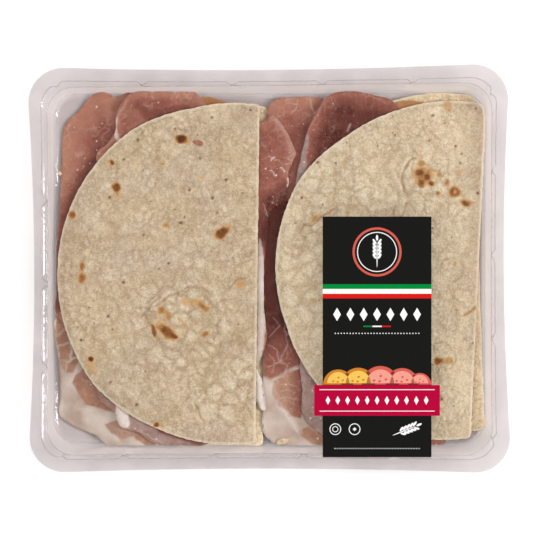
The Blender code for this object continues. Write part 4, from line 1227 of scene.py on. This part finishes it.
def right_ham_back():
    ham = Slice("right_ham_outer_slice", "right_ham_back", 51.0, ((14.4, 97.8, 1.6, 1.6),))
    ham.deepen(2, 18, 0.14, 0.60)
    # Painted shade: the lean in the narrow gap between the two flatbreads painted darker
    ham.area("deep_and_shade", ((-2, 34), (12, 38), (9, 10), (8, -16), (8, -30), (0, -32), (-3, 0)), 1.1, 8)
    fading = np.clip((ham.shape_mm[:, 1] + 76) / 46, 0, 1)
    fading *= patch(ham.drawn, ((-8, -20), (15, -20), (22, -58), (12, -60), (-8, -64)), 3.0)
    ham.fields["deep_and_shade"] = np.maximum(ham.fields["deep_and_shade"], fading)
    ham.line("fat_and_sheen", ((23.5, 98), (24.5, 92.5), (26.5, 89.5)), 0.5, 0.6)
    ham.line("fat_and_sheen", ((16.5, 97), (15.4, 92), (12, 89.5)), 0.3, 0.45)
    ham.line("fat_and_sheen", ((24, 90), (18, 84), (14, 82)), 0.3, 0.3)
    for points, width in (
        (((8.5, -35.5), (10.5, -44), (8.5, -48), (6, -54), (-1, -57)), 0.5),
        (((2.5, -28.5), (6, -33), (3.5, -35.5), (0, -40)), 0.3),
        (((7, -24), (9, -30), (8.5, -35.5), (13, -40)), 0.35),
        (((10.5, -55.5), (8.5, -62), (-2, -65.5)), 0.7),
        (((-1, -44), (4, -47), (6, -54), (10.5, -55.5)), 0.4),
        (((0, -50), (3, -53), (2, -60)), 0.35),
        (((5, -71), (10, -70), (15, -71.5)), 0.35),
        (((4, -75), (10, -74), (16, -76)), 0.35),
        (((6, -67), (11, -66.5), (16, -68)), 0.3),
    ):
        ham.line("fat_and_sheen", points, width, 0.45, 0.6)
    below = ((-8, -62), (1, -66), (9, -61.5), (16, -58), (18, -62), (42, -92), (54, -112), (-8, -112))
    ham.area("pale", below, 0.9, 3.0)
    island = ((3, -66), (9, -61), (18.5, -58), (22, -75.5), (17.5, -86), (12, -83.5), (6, -78.5), (2, -72.5))
    ham.wipe("pale", island, 1.0)
    inside = patch(ham.drawn, island, 1.0)
    ham.fields["brown"] = inside * np.clip((16.5 - ham.drawn[:, 0]) / 7, 0, 1)
    dark_strip = np.clip((ham.drawn[:, 0] - 8) / 10, 0, 0.50)
    ham.fields["deep_and_shade"] = np.where(inside > 0.5, dark_strip, ham.fields["deep_and_shade"])
    bit = ((17.5, -94), (22, -91.5), (32, -97), (34, -103), (26, -101), (19, -96.5))
    ham.wipe("pale", bit, 0.8)
    ham.fields["brown"] = np.maximum(ham.fields["brown"], patch(ham.drawn, bit, 0.8))
    ham.line("fat_and_sheen", ((-4.5, -64), (1.5, -68.5), (6, -79), (12, -87), (17.5, -94)), 2.6, 0.42, 1.6)
    ham.line("fat_and_sheen", ((6.6, -80.2), (11.8, -87.1), (16.4, -94.6)), 0.4, 0.8)
    ham.done()


def left_ham_fat():
    ham = Slice("left_ham_fatty_slice", "left_ham_fat", 53.0)
    ham.fields["deep_and_shade"] += 0.12
    everywhere = ((-130, -20), (-30, -20), (-30, -110), (-130, -110))
    ham.area("pale", everywhere, 0.95)
    ham.area("brown", everywhere, 1.0)
    islands = (
        ((-122.5, -24), (-105, -22), (-104, -50), (-110, -52.5), (-113.5, -59.5), (-118.5, -60),
         (-120.5, -52.5), (-122.5, -41)),
        ((-111.5, -61), (-104, -56), (-93, -68), (-84, -81), (-90, -82.5), (-95, -81.5), (-100.5, -79.5),
         (-106, -78.5), (-109, -73.5), (-113.5, -66.5)),
        ((-95, -90), (-87, -87.5), (-83, -91.0), (-79.5, -92.5), (-76, -96.5), (-81, -97.0),
         (-85, -98.5), (-91.5, -94.5)),
        ((-78, -92.4), (-72.5, -94), (-66, -101.5), (-71.5, -101.5), (-77, -97.8)),
    )
    for island in islands:
        ham.wipe("pale", island, 0.8)
    for points in (
        ((-124, -40.5), (-119.5, -36.5), (-117, -33.5), (-112, -30)),
        ((-123, -45.5), (-118, -43.5), (-113, -41.5)),
        ((-121.5, -52.5), (-116.5, -54), (-110.5, -50.5)),
        ((-117, -53), (-118, -60)),
        ((-116, -63.5), (-110.5, -60), (-107, -56.5)),
        ((-115.5, -41.5), (-114, -46), (-115, -53)),
    ):
        ham.line("pale", points, 0.5, 0.75, 0.7)
    ham.line("pale", ((-108, -64), (-103, -66), (-99, -66)), 0.3, 0.5, 0.6)
    ham.fields["pale"] += 0.22 * patch(ham.drawn, islands[2], 1.0)
    ham.fields["brown"] -= 0.2 * patch(ham.drawn, islands[1], 1.0)
    ham.line("fat_and_sheen", ((-112, -80), (-104, -83), (-100, -87)), 1.6, 0.3, 1.6)
    ham.line("fat_and_sheen", ((-87, -101), (-70, -103.5), (-52, -103.5)), 1.4, 0.4, 1.4)
    ham.done("ham_fat")


def left_ham_back():
    ham = Slice("left_ham_outer_slice", "left_ham_back", 57.0,
                ((-89.5, 100.0, 2.0, 2.2), (-80.5, 100.4, 1.4, 1.6)))
    ham.deepen(1, 20, 0.02, 0.52)
    # Painted shade: the lean along the flatbread's rim painted darker
    bread_shade_area = ((-68, 92), (-86, 74), (-100.5, 59.5), (-109, 45), (-114.5, 28), (-118, 5), (-120, -18),
                  (-100, -18), (-90, 40), (-60, 70))
    ham.area("deep_and_shade", bread_shade_area, 0.90, 12)
    ham.area("clear", ((-96, 68), (-92, 73), (-87, 76), (-84, 74), (-90, 68), (-94, 65)), 0.9, 0.8)
    ham.line("fat_and_sheen", ((-99, 67.5), (-96, 70.5)), 0.5, 0.3)
    ham.line("fat_and_sheen", ((-102, 60), (-99.5, 64)), 0.4, 0.25)
    ham.done()


def left_ham_top():
    ham = Slice("left_ham_back_slice", "left_ham_top", 59.0,
                ((-54.3, 102.4, 1.3, 1.6), (-67.5, 102.5, 0.8, 1.4), (-46.0, 102.0, 0.7, 1.4)))
    ham.deepen(1.5, 5, 0.16, 0.42)
    ham.line("deep_and_shade", ((-75.5, 94), (-71, 90)), 3, 0.60, 5)
    ham.line("deep_and_shade", ((-70, 88), (-58, 90), (-48, 92)), 4, 0.64, 5)
    ham.line("fat_and_sheen", ((-82.5, 97), (-84, 93), (-87, 90), (-88.5, 86)), 0.5, 0.4)
    ham.line("fat_and_sheen", ((-88.3, 86.5), (-89.3, 81.5), (-88.2, 75.5), (-87, 74)), 1.8, 0.75, 0.8)
    ham.line("fat_and_sheen", ((-54.5, 101.5), (-53, 98.5), (-54, 94)), 0.4, 0.35)
    ham.line("fat_and_sheen", ((-68, 101.5), (-67, 98), (-66, 96)), 0.3, 0.3)
    ham.line("fat_and_sheen", ((-63, 93), (-60, 90)), 0.3, 0.3)
    ham.done()


def left_ham_fold():
    ham = Slice("left_ham_folded_slice", "left_ham_fold", 61.0)
    ham.fields["deep_and_shade"] += 0.25
    ham.fields["clear"] += 0.72
    bulge = ((-88, -79), (-85, -79), (-81.5, -84), (-80.5, -90), (-83.5, -92.5), (-86.5, -90), (-88.5, -85))
    ham.area("pale", bulge, 0.95, 0.8)
    ham.area("fat_and_sheen", bulge, 0.7, 0.8)
    ham.raise_along(((-86.5, -80.5), (-85.5, -86), (-83, -91)), 6, 0.8)
    ham.line("fat_and_sheen", ((-83.0, -82), (-81.2, -88), (-82.6, -91.6)), 0.6, 0.9)
    ham.line("deep_and_shade", ((-62, -93), (-51.5, -96), (-40, -100)), 4, 0.7, 2)
    ham.fields["clear"] *= 1 - stroke(ham.drawn, ((-62, -92), (-51.5, -95.5), (-40, -99)), 3, 2)
    ham.line("fat_and_sheen", ((-74.5, -93.5), (-66, -98.5), (-58, -102)), 0.5, 0.45, 0.8)
    ham.done("ham_fat")


def right_ham_top():
    ham = Slice("right_ham_back_slice", "right_ham_top", 63.0)
    ham.deepen(1.5, 11, 0.40, 0.92)
    ham.line("fat_and_sheen", ((31.9, 97.5), (27.9, 89.4), (22.1, 79.6), (21, 75.6)), 0.3, 0.35)
    ham.line("clear", ((21.2, 76), (20, 67), (19.3, 59.5)), 2.2, 0.9, 0.7)
    ham.line("clear", ((19.3, 60), (18.2, 55), (17, 51), (15.2, 48.5)), 3.8, 0.9, 0.9)
    ham.line("fat_and_sheen", ((45, 79), (46.5, 83)), 0.6, 0.5, 0.8)
    ham.fields["plain_rim"] += 0.7
    ham.done()


def right_ham_fold():
    ham = Slice("right_ham_folded_slice", "right_ham_fold", 67.0)
    ham.fields["deep_and_shade"] += 0.3
    ham.fields["clear"] += 0.75
    ham.line("clear", ((27, -84), (40, -96), (60, -100)), 8, 0.9, 3)
    ham.line("pale", ((24, -92), (34, -98), (50, -101)), 2, 0.3, 2)
    bit = ((84, -92), (90, -99.5), (97, -101.5), (103, -99), (100, -92))
    ham.fields["clear"] *= 1 - patch(ham.drawn, bit, 1.0)
    ham.done("ham_fat")


def left_ham_inner():
    ham = Slice("left_ham_inner_slice", "left_ham_inner", 71.0)
    ham.deepen(1, 6, 0.26, 0.48)
    # Painted shade: the lean in the narrow gap between the two flatbreads painted darker
    ham.area("deep_and_shade", ((0, 40), (8, 44), (10, 40), (6, 30), (-1, 20), (-4, 15)), 0.95, 14)
    # Painted sheen: a wide soft white line along the raised fold
    ham.line("fat_and_sheen", ((1, 88.0), (5, 84), (8.4, 79), (11.6, 72), (12.8, 66), (12.8, 63)), 1.6, 0.34, 1.8)
    ham.line("fat_and_sheen", ((5.5, 62.5), (8, 60.6), (10.5, 60), (13, 60.6), (14.6, 62.4)), 0.3, 0.5)
    ham.line("fat_and_sheen", ((0.8, 62.2), (2.8, 64.4)), 0.5, 0.85)
    ham.line("fat_and_sheen", ((-0.6, 65.2), (2.0, 63.5), (4.0, 62.4)), 0.25, 0.7)
    ham.line("fat_and_sheen", ((6.6, 57.9), (7.9, 57.2), (8.7, 55.6)), 0.45, 0.85)
    ham.line("fat_and_sheen", ((0.3, 56.6), (2.2, 55.4), (3.7, 53.2)), 0.4, 0.85)
    ham.line("fat_and_sheen", ((10.6, 52.2), (11.0, 49.6), (10.4, 47.2)), 0.5, 0.8)
    ham.line("fat_and_sheen", ((9, 62), (11.6, 66)), 0.3, 0.35)
    ham.line("fat_and_sheen", ((-3.4, 37), (-1.8, 33), (-1.2, 30.5)), 0.4, 0.5, 0.6)
    strip = ((-6.0, 17.0), (-6.8, 8), (-6.9, 0), (-6.9, -20), (-6.8, -36), (-7.2, -46), (-7.4, -54),
             (-6.9, -57), (-5.6, -54), (-3.8, -46), (-2.6, -36), (-2.4, -20), (-2.6, 0), (-3.8, 8),
             (-5.6, 16.4))
    ham.area("pale", strip, 0.95, 0.7)
    ham.line("fat_and_sheen", ((-5.2, 6), (-4.8, -20), (-5.2, -46)), 2.4, 0.6, 1.2)
    ham.area("pale", ((-12, -59), (3, -59), (3, -90), (-12, -90)), 0.85, 2.0)
    ham.line("fat_and_sheen", ((-6.3, -59.6), (-5.7, -68), (-5.0, -76), (-3.0, -83.6)), 2.2, 0.95, 0.9)
    ham.fields["plain_rim"] = np.clip((63 - ham.shape_mm[:, 1]) / 3, 0, 1)
    ham.raise_along(((1, 88), (6, 83), (11.6, 73), (13, 65)), 5, 0.5)
    ham.raise_along(((-5, 16), (-5, -40), (-7.6, -56), (-4.6, -74)), 5, 0.4)
    ham.done()


def ham_slices():
    right_ham_back()
    left_ham_fat()
    left_ham_back()
    left_ham_top()
    left_ham_fold()
    right_ham_top()
    right_ham_fold()
    left_ham_inner()


# Tray

def lug_places(side):
    count, pitch, middle = LUGS[side][:3]
    return [middle + pitch * (k - (count - 1) / 2) for k in range(count)]


def lug_reach(distance, side):
    """How far a lug brings its line in: straight arms and a short flat tip."""
    nearest = min(abs(distance - place) for place in lug_places(side))
    share = min(1.0, max(0.0, (LUG_WIDTH / 2 - nearest) / (LUG_WIDTH / 2 - LUG_TIP / 2)))
    return LUGS[side][3] * share


def corner_turns(index):
    """Even turns round a corner, the nearest ones moved to its lug's foot and tip."""
    turns = [90 * step / CORNER_STEPS for step in range(CORNER_STEPS + 1)]
    tip = CORNER_LUG_ANGLES[index]
    for wanted in (tip - CORNER_LUG_SPREAD, tip, min(tip + CORNER_LUG_SPREAD, 90)):
        nearest = min(range(len(turns)), key=lambda k: abs(turns[k] - wanted))
        turns[nearest] = wanted
    return turns


def side_shares(index, side):
    """Even shares along a side, the nearest ones moved to its lugs' feet and tips."""
    reach = (TRAY_WIDTH / 2 - STEP_INSET[1] if index % 2 else TRAY_LENGTH / 2 - STEP_INSET[0]) - STEP_RADIUS
    signs = (1, -1) if index < 2 else (-1, 1)
    steps = SIDE_STEPS[index % 2]
    shares = [step / steps for step in range(steps + 1)]
    for place in lug_places(side):
        for shift in (-LUG_WIDTH / 2, -LUG_TIP / 2, LUG_TIP / 2, LUG_WIDTH / 2):
            wanted = (place + shift - signs[0] * reach) / ((signs[1] - signs[0]) * reach)
            nearest = min(range(1, steps), key=lambda k: abs(shares[k] - wanted))
            shares[nearest] = wanted
    return shares[1:-1]


def tray_ring(length, width, radius, height, shifts=NO_SHIFTS, bows=NO_BOWS, lugged=0):
    """One closed line round the tray: a rounded rectangle with shifted corners, bowed sides and lugs."""
    corners = []
    for (sx, sy), (dx, dy) in zip(((1, 1), (-1, 1), (-1, -1), (1, -1)), shifts):
        corners.append(Vector((sx * (length / 2 - radius) + dx * MM, sy * (width / 2 - radius) + dy * MM)))
    points = []
    for index, side in enumerate(("back", "left", "front", "right")):
        centre = corners[index]
        for turned in corner_turns(index):
            angle = math.radians(index * 90 + turned)
            off = abs(turned - CORNER_LUG_ANGLES[index]) / CORNER_LUG_SPREAD
            reach = radius - lugged * CORNER_LUG_REACH * max(0.0, 1 - off)
            points.append((centre.x + reach * math.cos(angle), centre.y + reach * math.sin(angle), height))
        facing = math.radians(index * 90 + 90)
        outward = Vector((math.cos(facing), math.sin(facing)))
        begin = centre + outward * radius
        end = corners[(index + 1) % 4] + outward * radius
        axis = index % 2
        for share in side_shares(index, side):
            place = begin.lerp(end, share)
            inward = bows[index] * MM * 4 * share * (1 - share) + lugged * lug_reach(place[axis], side)
            place = place - outward * inward
            points.append((place.x, place.y, height))
    return np.array(points)


# The tray's bends, from the flange's edge to the floor: how far each is rounded, and how dark it reads
TRAY_BENDS = (
    (None, 0.0), (0.30 * MM, 1.0), (0.25 * MM, 0.6),
    (0.25 * MM, 0.0), (0.25 * MM, 0.1), (0.25 * MM, 0.0),
    (0.5 * MM, 1.0), (1.4 * MM, 0.1), (0.9 * MM, 0.05), (None, 0.0),
)


def tray_lines():
    """The tray's inner face: its lines from the flange's edge to the floor, with rounded bends."""
    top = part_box("tray")[1].z
    step = (TRAY_LENGTH - 2 * STEP_INSET[0], TRAY_WIDTH - 2 * STEP_INSET[1])
    wall = (TRAY_LENGTH - 2 * LEDGE_INSET, TRAY_WIDTH - 2 * LEDGE_INSET)
    foot = (wall[0] - 2 * WALL_DRAFT[0] + 2 * END_FOOT_SHIFT, wall[1] - 2 * WALL_DRAFT[1])
    riser = tray_ring(step[0] - 2 * STEP_SLOPE, step[1] - 2 * STEP_SLOPE, STEP_RADIUS, top - RISER_DEPTH,
                      STEP_SHIFTS, STEP_BOWS, 1)
    wall_top = tray_ring(*wall, WALL_RADIUS, top - STEP_DEPTH, WALL_SHIFTS, WALL_BOWS)
    creases = []
    for share, depth in LEDGE_CREASES:
        crease = riser + (wall_top - riser) * share
        crease[:, 2] = top - depth
        creases.append(crease)
    lines = [
        tray_ring(TRAY_LENGTH, TRAY_WIDTH, FLANGE_RADIUS, top, FLANGE_SHIFTS, FLANGE_BOWS),
        tray_ring(*step, STEP_RADIUS, top, STEP_SHIFTS, STEP_BOWS, 1),
        riser,
        *creases,
        wall_top,
        tray_ring(*foot, FOOT_CORNER_RADIUS, FOOT_HEIGHT),
        tray_ring(foot[0] - 0.7 * FOOT_RADIUS, foot[1] - 0.7 * FOOT_RADIUS,
                  FOOT_CORNER_RADIUS - 0.35 * FOOT_RADIUS, TRAY_SHEET + 0.25 * FOOT_RADIUS),
        tray_ring(foot[0] - 2 * FOOT_RADIUS, foot[1] - 2 * FOOT_RADIUS, FLOOR_CORNER_RADIUS, TRAY_SHEET),
    ]
    rounded = []
    dark = []
    for index, (bend, darkness) in enumerate(TRAY_BENDS):
        line = lines[index]
        if bend is None:
            rounded.append(line)
            dark.append(0.0)
            continue
        ends = []
        for other in (lines[index - 1], lines[index + 1]):
            run = other - line
            reach = np.minimum(bend / np.linalg.norm(run, axis=1), 0.5)[:, None]
            ends.append(line + run * reach)
        for t in (0.0, 0.33, 0.67, 1.0):
            rounded.append((1 - t) ** 2 * ends[0] + 2 * t * (1 - t) * line + t ** 2 * ends[1])
            dark.append(darkness * 4 * t * (1 - t))
    return rounded, np.array(dark)


def tray():
    """The thermoformed tray: a ring extruded line by line down to the floor, then given its sheet."""
    lines, dark = tray_lines()
    count = len(lines[0])
    piece = new_piece("clear_tray", bpy.ops.mesh.primitive_circle_add, vertices=count, radius=1,
                      fill_type="NOTHING")

    def extrude_lines():
        for _ in lines[1:]:
            bpy.ops.mesh.extrude_region_move(TRANSFORM_OT_translate={"value": (0, 0, -1)})
        bpy.ops.mesh.edge_face_add()

    in_edit_mode(piece, extrude_lines)
    rough = points_of(piece)
    line_number = np.round(-rough[:, 2]).astype(int)
    station = np.round(np.arctan2(rough[:, 1], rough[:, 0]) / (2 * math.pi) * count).astype(int) % count
    move_points(piece, np.array(lines)[line_number, station])
    paint(piece, "bend", dark[line_number])
    in_edit_mode(piece, lambda: bpy.ops.mesh.normals_make_consistent(inside=False))
    floor = max(piece.data.polygons, key=lambda face: face.area)
    if floor.normal.z < 0:
        in_edit_mode(piece, lambda: bpy.ops.mesh.flip_normals())
    give_thickness(piece, TRAY_SHEET, -1, 50)
    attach(piece, "root")
    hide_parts("tray")
    return finish(piece, TRAY_PLASTIC)


def lid_film():
    """The film: a thin sheet sealed flat on the flange and very slightly slack between."""
    outline = resample(Solid("lid_film").outline(), 1.0 * MM)
    piece = trimmed_grid("clear_lid_film", outline, FILM_SPACING)
    places = points_of(piece)[:, :2]
    inward = distance_from(resample(outline, 1.0 * MM), places)
    slack = np.clip((inward - FILM_SEAL) / FILM_SLACKENS, 0, 1)
    wave = fine_noise(places, 45 * MM, 81.0, 2)
    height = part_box("lid_film")[0].z + FILM_LIFT + FILM_WAVE * slack * wave
    move_points(piece, np.column_stack((places, height)))
    give_thickness(piece, FILM_SHEET, 0, 30)
    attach(piece, "root")
    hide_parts("lid_film")
    return finish(piece, FILM_PLASTIC)


# Label: a dark card with a wider band, printed with plain shapes. Places and sizes in millimetres.

CARD = (30.3, -107.55, 92.3, 29.55)
BAND = (25.5, -83.95, 97.1, -66.45)
LABEL_MIDDLE = 61.3
CARD_LEVELS = (26.0, 26.2)
INK_STEP = 0.02


def add_disc(x, y, radius, sides=48):
    bpy.ops.mesh.primitive_circle_add(vertices=sides, radius=radius * MM, fill_type="NGON",
                                      location=(x * MM, y * MM, 0))


def add_ring(x, y, radius, width):
    add_disc(x, y, radius, 72)
    bpy.ops.mesh.inset(thickness=width * MM)
    bpy.ops.mesh.delete(type="FACE")


def add_box(left, low, right, high):
    middle = ((left + right) / 2 * MM, (low + high) / 2 * MM, 0)
    bpy.ops.mesh.primitive_plane_add(size=MM, location=middle)
    bpy.ops.transform.resize(value=(right - left, high - low, 1), center_override=middle)


def add_oval(x, y, length, width, turn=0.0, sides=32):
    """An oval, or a lozenge where it has four sides."""
    middle = (x * MM, y * MM, 0)
    add_disc(x, y, 0.5, sides)
    bpy.ops.transform.resize(value=(length, width, 1), center_override=middle)
    bpy.ops.transform.rotate(value=-math.radians(turn), orient_axis="Z", center_override=middle)


def add_half_moon(x, y, radius):
    """A half disc that stands on its straight side."""
    add_disc(x, y, radius, 64)
    bpy.ops.mesh.bisect(plane_co=(x * MM, (y + 0.001) * MM, 0), plane_no=(0, 1, 0), clear_inner=True)


def add_wheat_ear(x, y, length, turn=0.0):
    """A stalk with grains in pairs and one at its tip; turned anticlockwise from upright, in degrees."""
    along = Vector((-math.sin(math.radians(turn)), math.cos(math.radians(turn))))
    across = Vector((along.y, -along.x))
    foot = Vector((x, y)) - along * length / 2
    middle = foot + along * length * 0.42
    add_oval(middle.x, middle.y, 0.035 * length, 0.84 * length, turn)
    for pair in range(5):
        for side in (-1, 1):
            grain = foot + along * length * (0.36 + 0.12 * pair) + across * side * 0.085 * length
            add_oval(grain.x, grain.y, 0.075 * length, 0.19 * length, turn - side * 32)
    tip = foot + along * length * 0.96
    add_oval(tip.x, tip.y, 0.075 * length, 0.19 * length, turn)


def printed(name, ink, level, shapes):
    """Thin printed shapes of one ink, as one piece that lies on the card or on the print below."""
    piece = new_piece(name, bpy.ops.mesh.primitive_plane_add, size=MM)
    low = (CARD_LEVELS[1] - INK_STEP / 2) * MM
    high = (CARD_LEVELS[1] + INK_STEP * level) * MM

    def draw():
        bpy.ops.mesh.delete(type="VERT")
        for add, *numbers in shapes:
            add(*numbers)
        bpy.ops.mesh.select_all(action="SELECT")
        bpy.ops.transform.translate(value=(0, 0, low))
        bpy.ops.mesh.extrude_region_move(TRANSFORM_OT_translate={"value": (0, 0, high - low)})
        bpy.ops.mesh.select_all(action="SELECT")
        bpy.ops.mesh.normals_make_consistent(inside=False)

    in_edit_mode(piece, draw)
    piece.visible_shadow = False
    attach(piece, "root")
    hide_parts("label")
    return finish(piece, ink)


def card(name, ink, corners, levels):
    """A thin board with slightly softened edges."""
    left, low, right, high = (v * MM for v in corners)
    thickness = (levels[1] - levels[0]) * MM
    piece = new_piece(name, bpy.ops.mesh.primitive_cube_add, size=1)
    middle = ((left + right) / 2, (low + high) / 2, levels[0] * MM + thickness / 2)
    in_edit_mode(
        piece,
        lambda: bpy.ops.transform.resize(value=(right - left, high - low, thickness)),
        lambda: bpy.ops.transform.translate(value=middle),
        lambda: bpy.ops.mesh.bevel(offset=0.03 * MM, segments=2, affect="EDGES"),
    )
    piece.visible_shadow = False
    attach(piece, "root")
    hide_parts("label")
    return finish(piece, ink)


def label():
    """The card, its band and its prints, colour by colour."""
    middle = LABEL_MIDDLE
    card("label_card", BLACK_CARD, CARD, CARD_LEVELS)
    card("label_band", INKS["crimson"], BAND, (CARD_LEVELS[0] + INK_STEP, CARD_LEVELS[1] + INK_STEP))
    stripe = 2.7
    top = -9.0
    lozenges = [(add_oval, middle + 7.6 * k, -26.2, 4.4, 7.6, 0, 4) for k in range(-3, 4)]
    small = [(add_oval, middle + 5.6 * k, -75.2, 2.6, 5.0, 0, 4) for k in range(-5, 6)]
    dotted = [(add_oval, middle + 1.7 * k, -37.0, 0.7, 0.7, 0, 12) for k in range(-14, 15)]
    foot_dots = [(add_oval, middle + 1.5 * k, -102.6, 0.6, 0.6, 0, 12) for k in range(-16, 17)]
    printed("label_white_print", INKS["white"], 2, [
        (add_ring, middle, 9.4, 11.4, 0.5),
        (add_wheat_ear, middle, 9.4, 17.5),
        (add_box, CARD[0], top - 2 * stripe, CARD[2], top - stripe),
        *lozenges, *dotted, *small, *foot_dots,
        (add_box, middle - 2.6, -33.4, middle + 2.6, -32.6),
        (add_box, BAND[0] + 3, -69.3, BAND[2] - 3, -68.9),
        (add_box, BAND[0] + 3, -81.5, BAND[2] - 3, -81.1),
        (add_ring, 37.5, -91.6, 3.3, 0.45), (add_ring, 37.5, -91.6, 1.7, 0.4),
        (add_ring, 48.5, -91.6, 3.3, 0.45), (add_oval, 48.5, -91.6, 2.2, 2.2, 0, 4),
        (add_wheat_ear, 78.0, -92.0, 17.0, -68),
    ])
    printed("label_green_print", INKS["green"], 1, [
        (add_box, CARD[0], top - stripe, CARD[2], top), (add_box, middle - 7.8, -33.4, middle - 2.6, -32.6)])
    printed("label_red_print", INKS["red"], 1, [
        (add_box, CARD[0], top - 3 * stripe, CARD[2], top - 2 * stripe),
        (add_box, middle + 2.6, -33.4, middle + 7.8, -32.6)])
    foot = -66.2
    moons = ((39.2, 8.6, "orange"), (50.6, 9.6, "orange"), (63.2, 10.6, "coral"), (75.6, 9.4, "coral"),
             (85.6, 6.6, "coral"))
    for ink in ("orange", "coral"):
        printed(f"label_{ink}_print", INKS[ink], 1, [
            *((add_half_moon, x, foot, radius) for x, radius, of_ink in moons if of_ink == ink),
            *([(add_ring, middle, 9.4, 14.0, 1.3)] if ink == "coral" else [])])
    for ink, below in (("yellow", "orange"), ("pink", "coral")):
        printed(f"label_{ink}_print", INKS[ink], 2, [
            (add_half_moon, x, foot + 0.8, 0.74 * radius) for x, radius, of_ink in moons if of_ink == below])
    for ink in ("orange", "coral"):
        spots = []
        for x, radius, of_ink in moons:
            if of_ink == ink:
                spots += [(add_oval, x + dx * radius, foot + dy * radius, 0.16 * radius, 0.12 * radius, 20)
                          for dx, dy in ((-0.34, 0.22), (0.02, 0.46), (0.30, 0.28), (-0.04, 0.18))]
        printed(f"label_{ink}_spots", INKS[ink], 3, spots)


# Crumbs and scraps

# Each bit's place, its length, width and height, its turn and what it is of; without a height in its
# place, it lies on the food below
CRUMBS = {
    "front_crumb": ((7.4, -99.6, None), (6.6, 3.6, 1.4), 10, "bread"),
    "back_crumb": ((76.8, 98.8, 1.1), (1.5, 1.1, 0.9), 20, "bread"),
    "right_back_crumb": ((101.2, 98.4, 1.1), (1.3, 1.0, 0.8), 50, "bread"),
    "wall_crumb": ((-121.3, 55.0, 5.2), (2.0, 2.6, 1.2), 60, "bread"),
    "ham_scrap": ((-41.1, 72.2, None), (5.8, 3.0, 0.7), -12, "ham"),
}


def crumbs():
    """Loose bits: a ball pressed flat and roughened, each of its own size."""
    for name, (place, size, turn, kind) in CRUMBS.items():
        piece = new_piece(name, bpy.ops.mesh.primitive_ico_sphere_add, subdivisions=4, radius=0.5)
        places = points_of(piece)
        for k, p in enumerate(places):
            wave = noise.noise(Vector(p) * 2.6 + Vector((turn, 0, 0)))
            wave += 0.5 * noise.noise(Vector(p) * 6.3 + Vector((0, turn, 0)))
            places[k] = p * (1 + 0.34 * wave)
        angle = math.radians(turn)
        places *= np.array(size) * MM
        turned = places.copy()
        turned[:, 0] = places[:, 0] * math.cos(angle) - places[:, 1] * math.sin(angle)
        turned[:, 1] = places[:, 0] * math.sin(angle) + places[:, 1] * math.cos(angle)
        x, y, z = place
        if z is None:
            z = float(ground.height(np.array([[x, y]]) * MM)[0]) / MM + 0.15
        move_points(piece, turned + np.array((x, y, z)) * MM)
        for field, value in (("crumb_and_light", 0.7), ("rim_light_and_crust", 0.0), ("deep_and_shade", 0.35)):
            paint(piece, field, np.full(len(places), value))
        paint(piece, "rim", np.ones(len(places)))
        only(piece)
        bpy.ops.object.shade_smooth()
        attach(piece, "root")
        if kind == "bread":
            finish(piece, FLATBREAD)
        else:
            finish(piece, HAM)


# Stage, light and camera

FLOOR_SIZE = 6
# How far the floor lies below the pack, so that the two don't share a plane
FLOOR_GAP = 0.05 * MM
FLOOR_COLOUR = (0.92, 0.92, 0.92, 1)
WORLD_STRENGTH = 0.96
# Softboxes that point at the pack: place, size and power
SOFTBOXES = {
    "right_softbox": ((1.75, -0.12, 1.75), (0.54, 1.08), 30),
    "back_softbox": ((-0.30, 1.7, 1.7), (2.2, 1.2), 8),
}
SENSOR_WIDTH = 36
LENS = 173.9
EYE = (0.3 * MM, -0.9 * MM, 1.5125)


def stage():
    floor = new_piece("pale_floor", bpy.ops.mesh.primitive_plane_add, size=FLOOR_SIZE,
                      location=(0, 0, -FLOOR_GAP))
    material, _, shader, _ = new_material("pale_floor")
    shader.inputs["Base Color"].default_value = FLOOR_COLOUR
    shader.inputs["Roughness"].default_value = 0.9
    floor.data.materials.append(material)


def softbox(name, place, size, power):
    light = bpy.data.lights.new(name, "AREA")
    light.shape = "RECTANGLE"
    light.size, light.size_y = size
    light.energy = power
    lamp = bpy.data.objects.new(name, light)
    bpy.context.scene.collection.objects.link(lamp)
    lamp.location = place
    lamp.rotation_euler = (-Vector(place)).to_track_quat("-Z", "Y").to_euler()


def studio():
    world = bpy.data.worlds.new("studio")
    world.use_nodes = True
    world.node_tree.nodes["Background"].inputs["Color"].default_value = (1, 1, 1, 1)
    world.node_tree.nodes["Background"].inputs["Strength"].default_value = WORLD_STRENGTH
    bpy.context.scene.world = world
    for name, numbers in SOFTBOXES.items():
        softbox(name, *numbers)


def camera():
    """Straight above the pack, framed as the photograph is."""
    lens = bpy.data.cameras.new("camera")
    lens.sensor_width = SENSOR_WIDTH
    lens.lens = LENS
    eye = bpy.data.objects.new("camera", lens)
    bpy.context.scene.collection.objects.link(eye)
    eye.location = EYE
    bpy.context.scene.camera = eye


lower_flatbreads()
cheeses()
ham_slices()
upper_flatbreads()
crumbs()
tray()
lid_film()
label()
stage()
studio()
camera()
bpy.context.scene.view_settings.view_transform = "Standard"
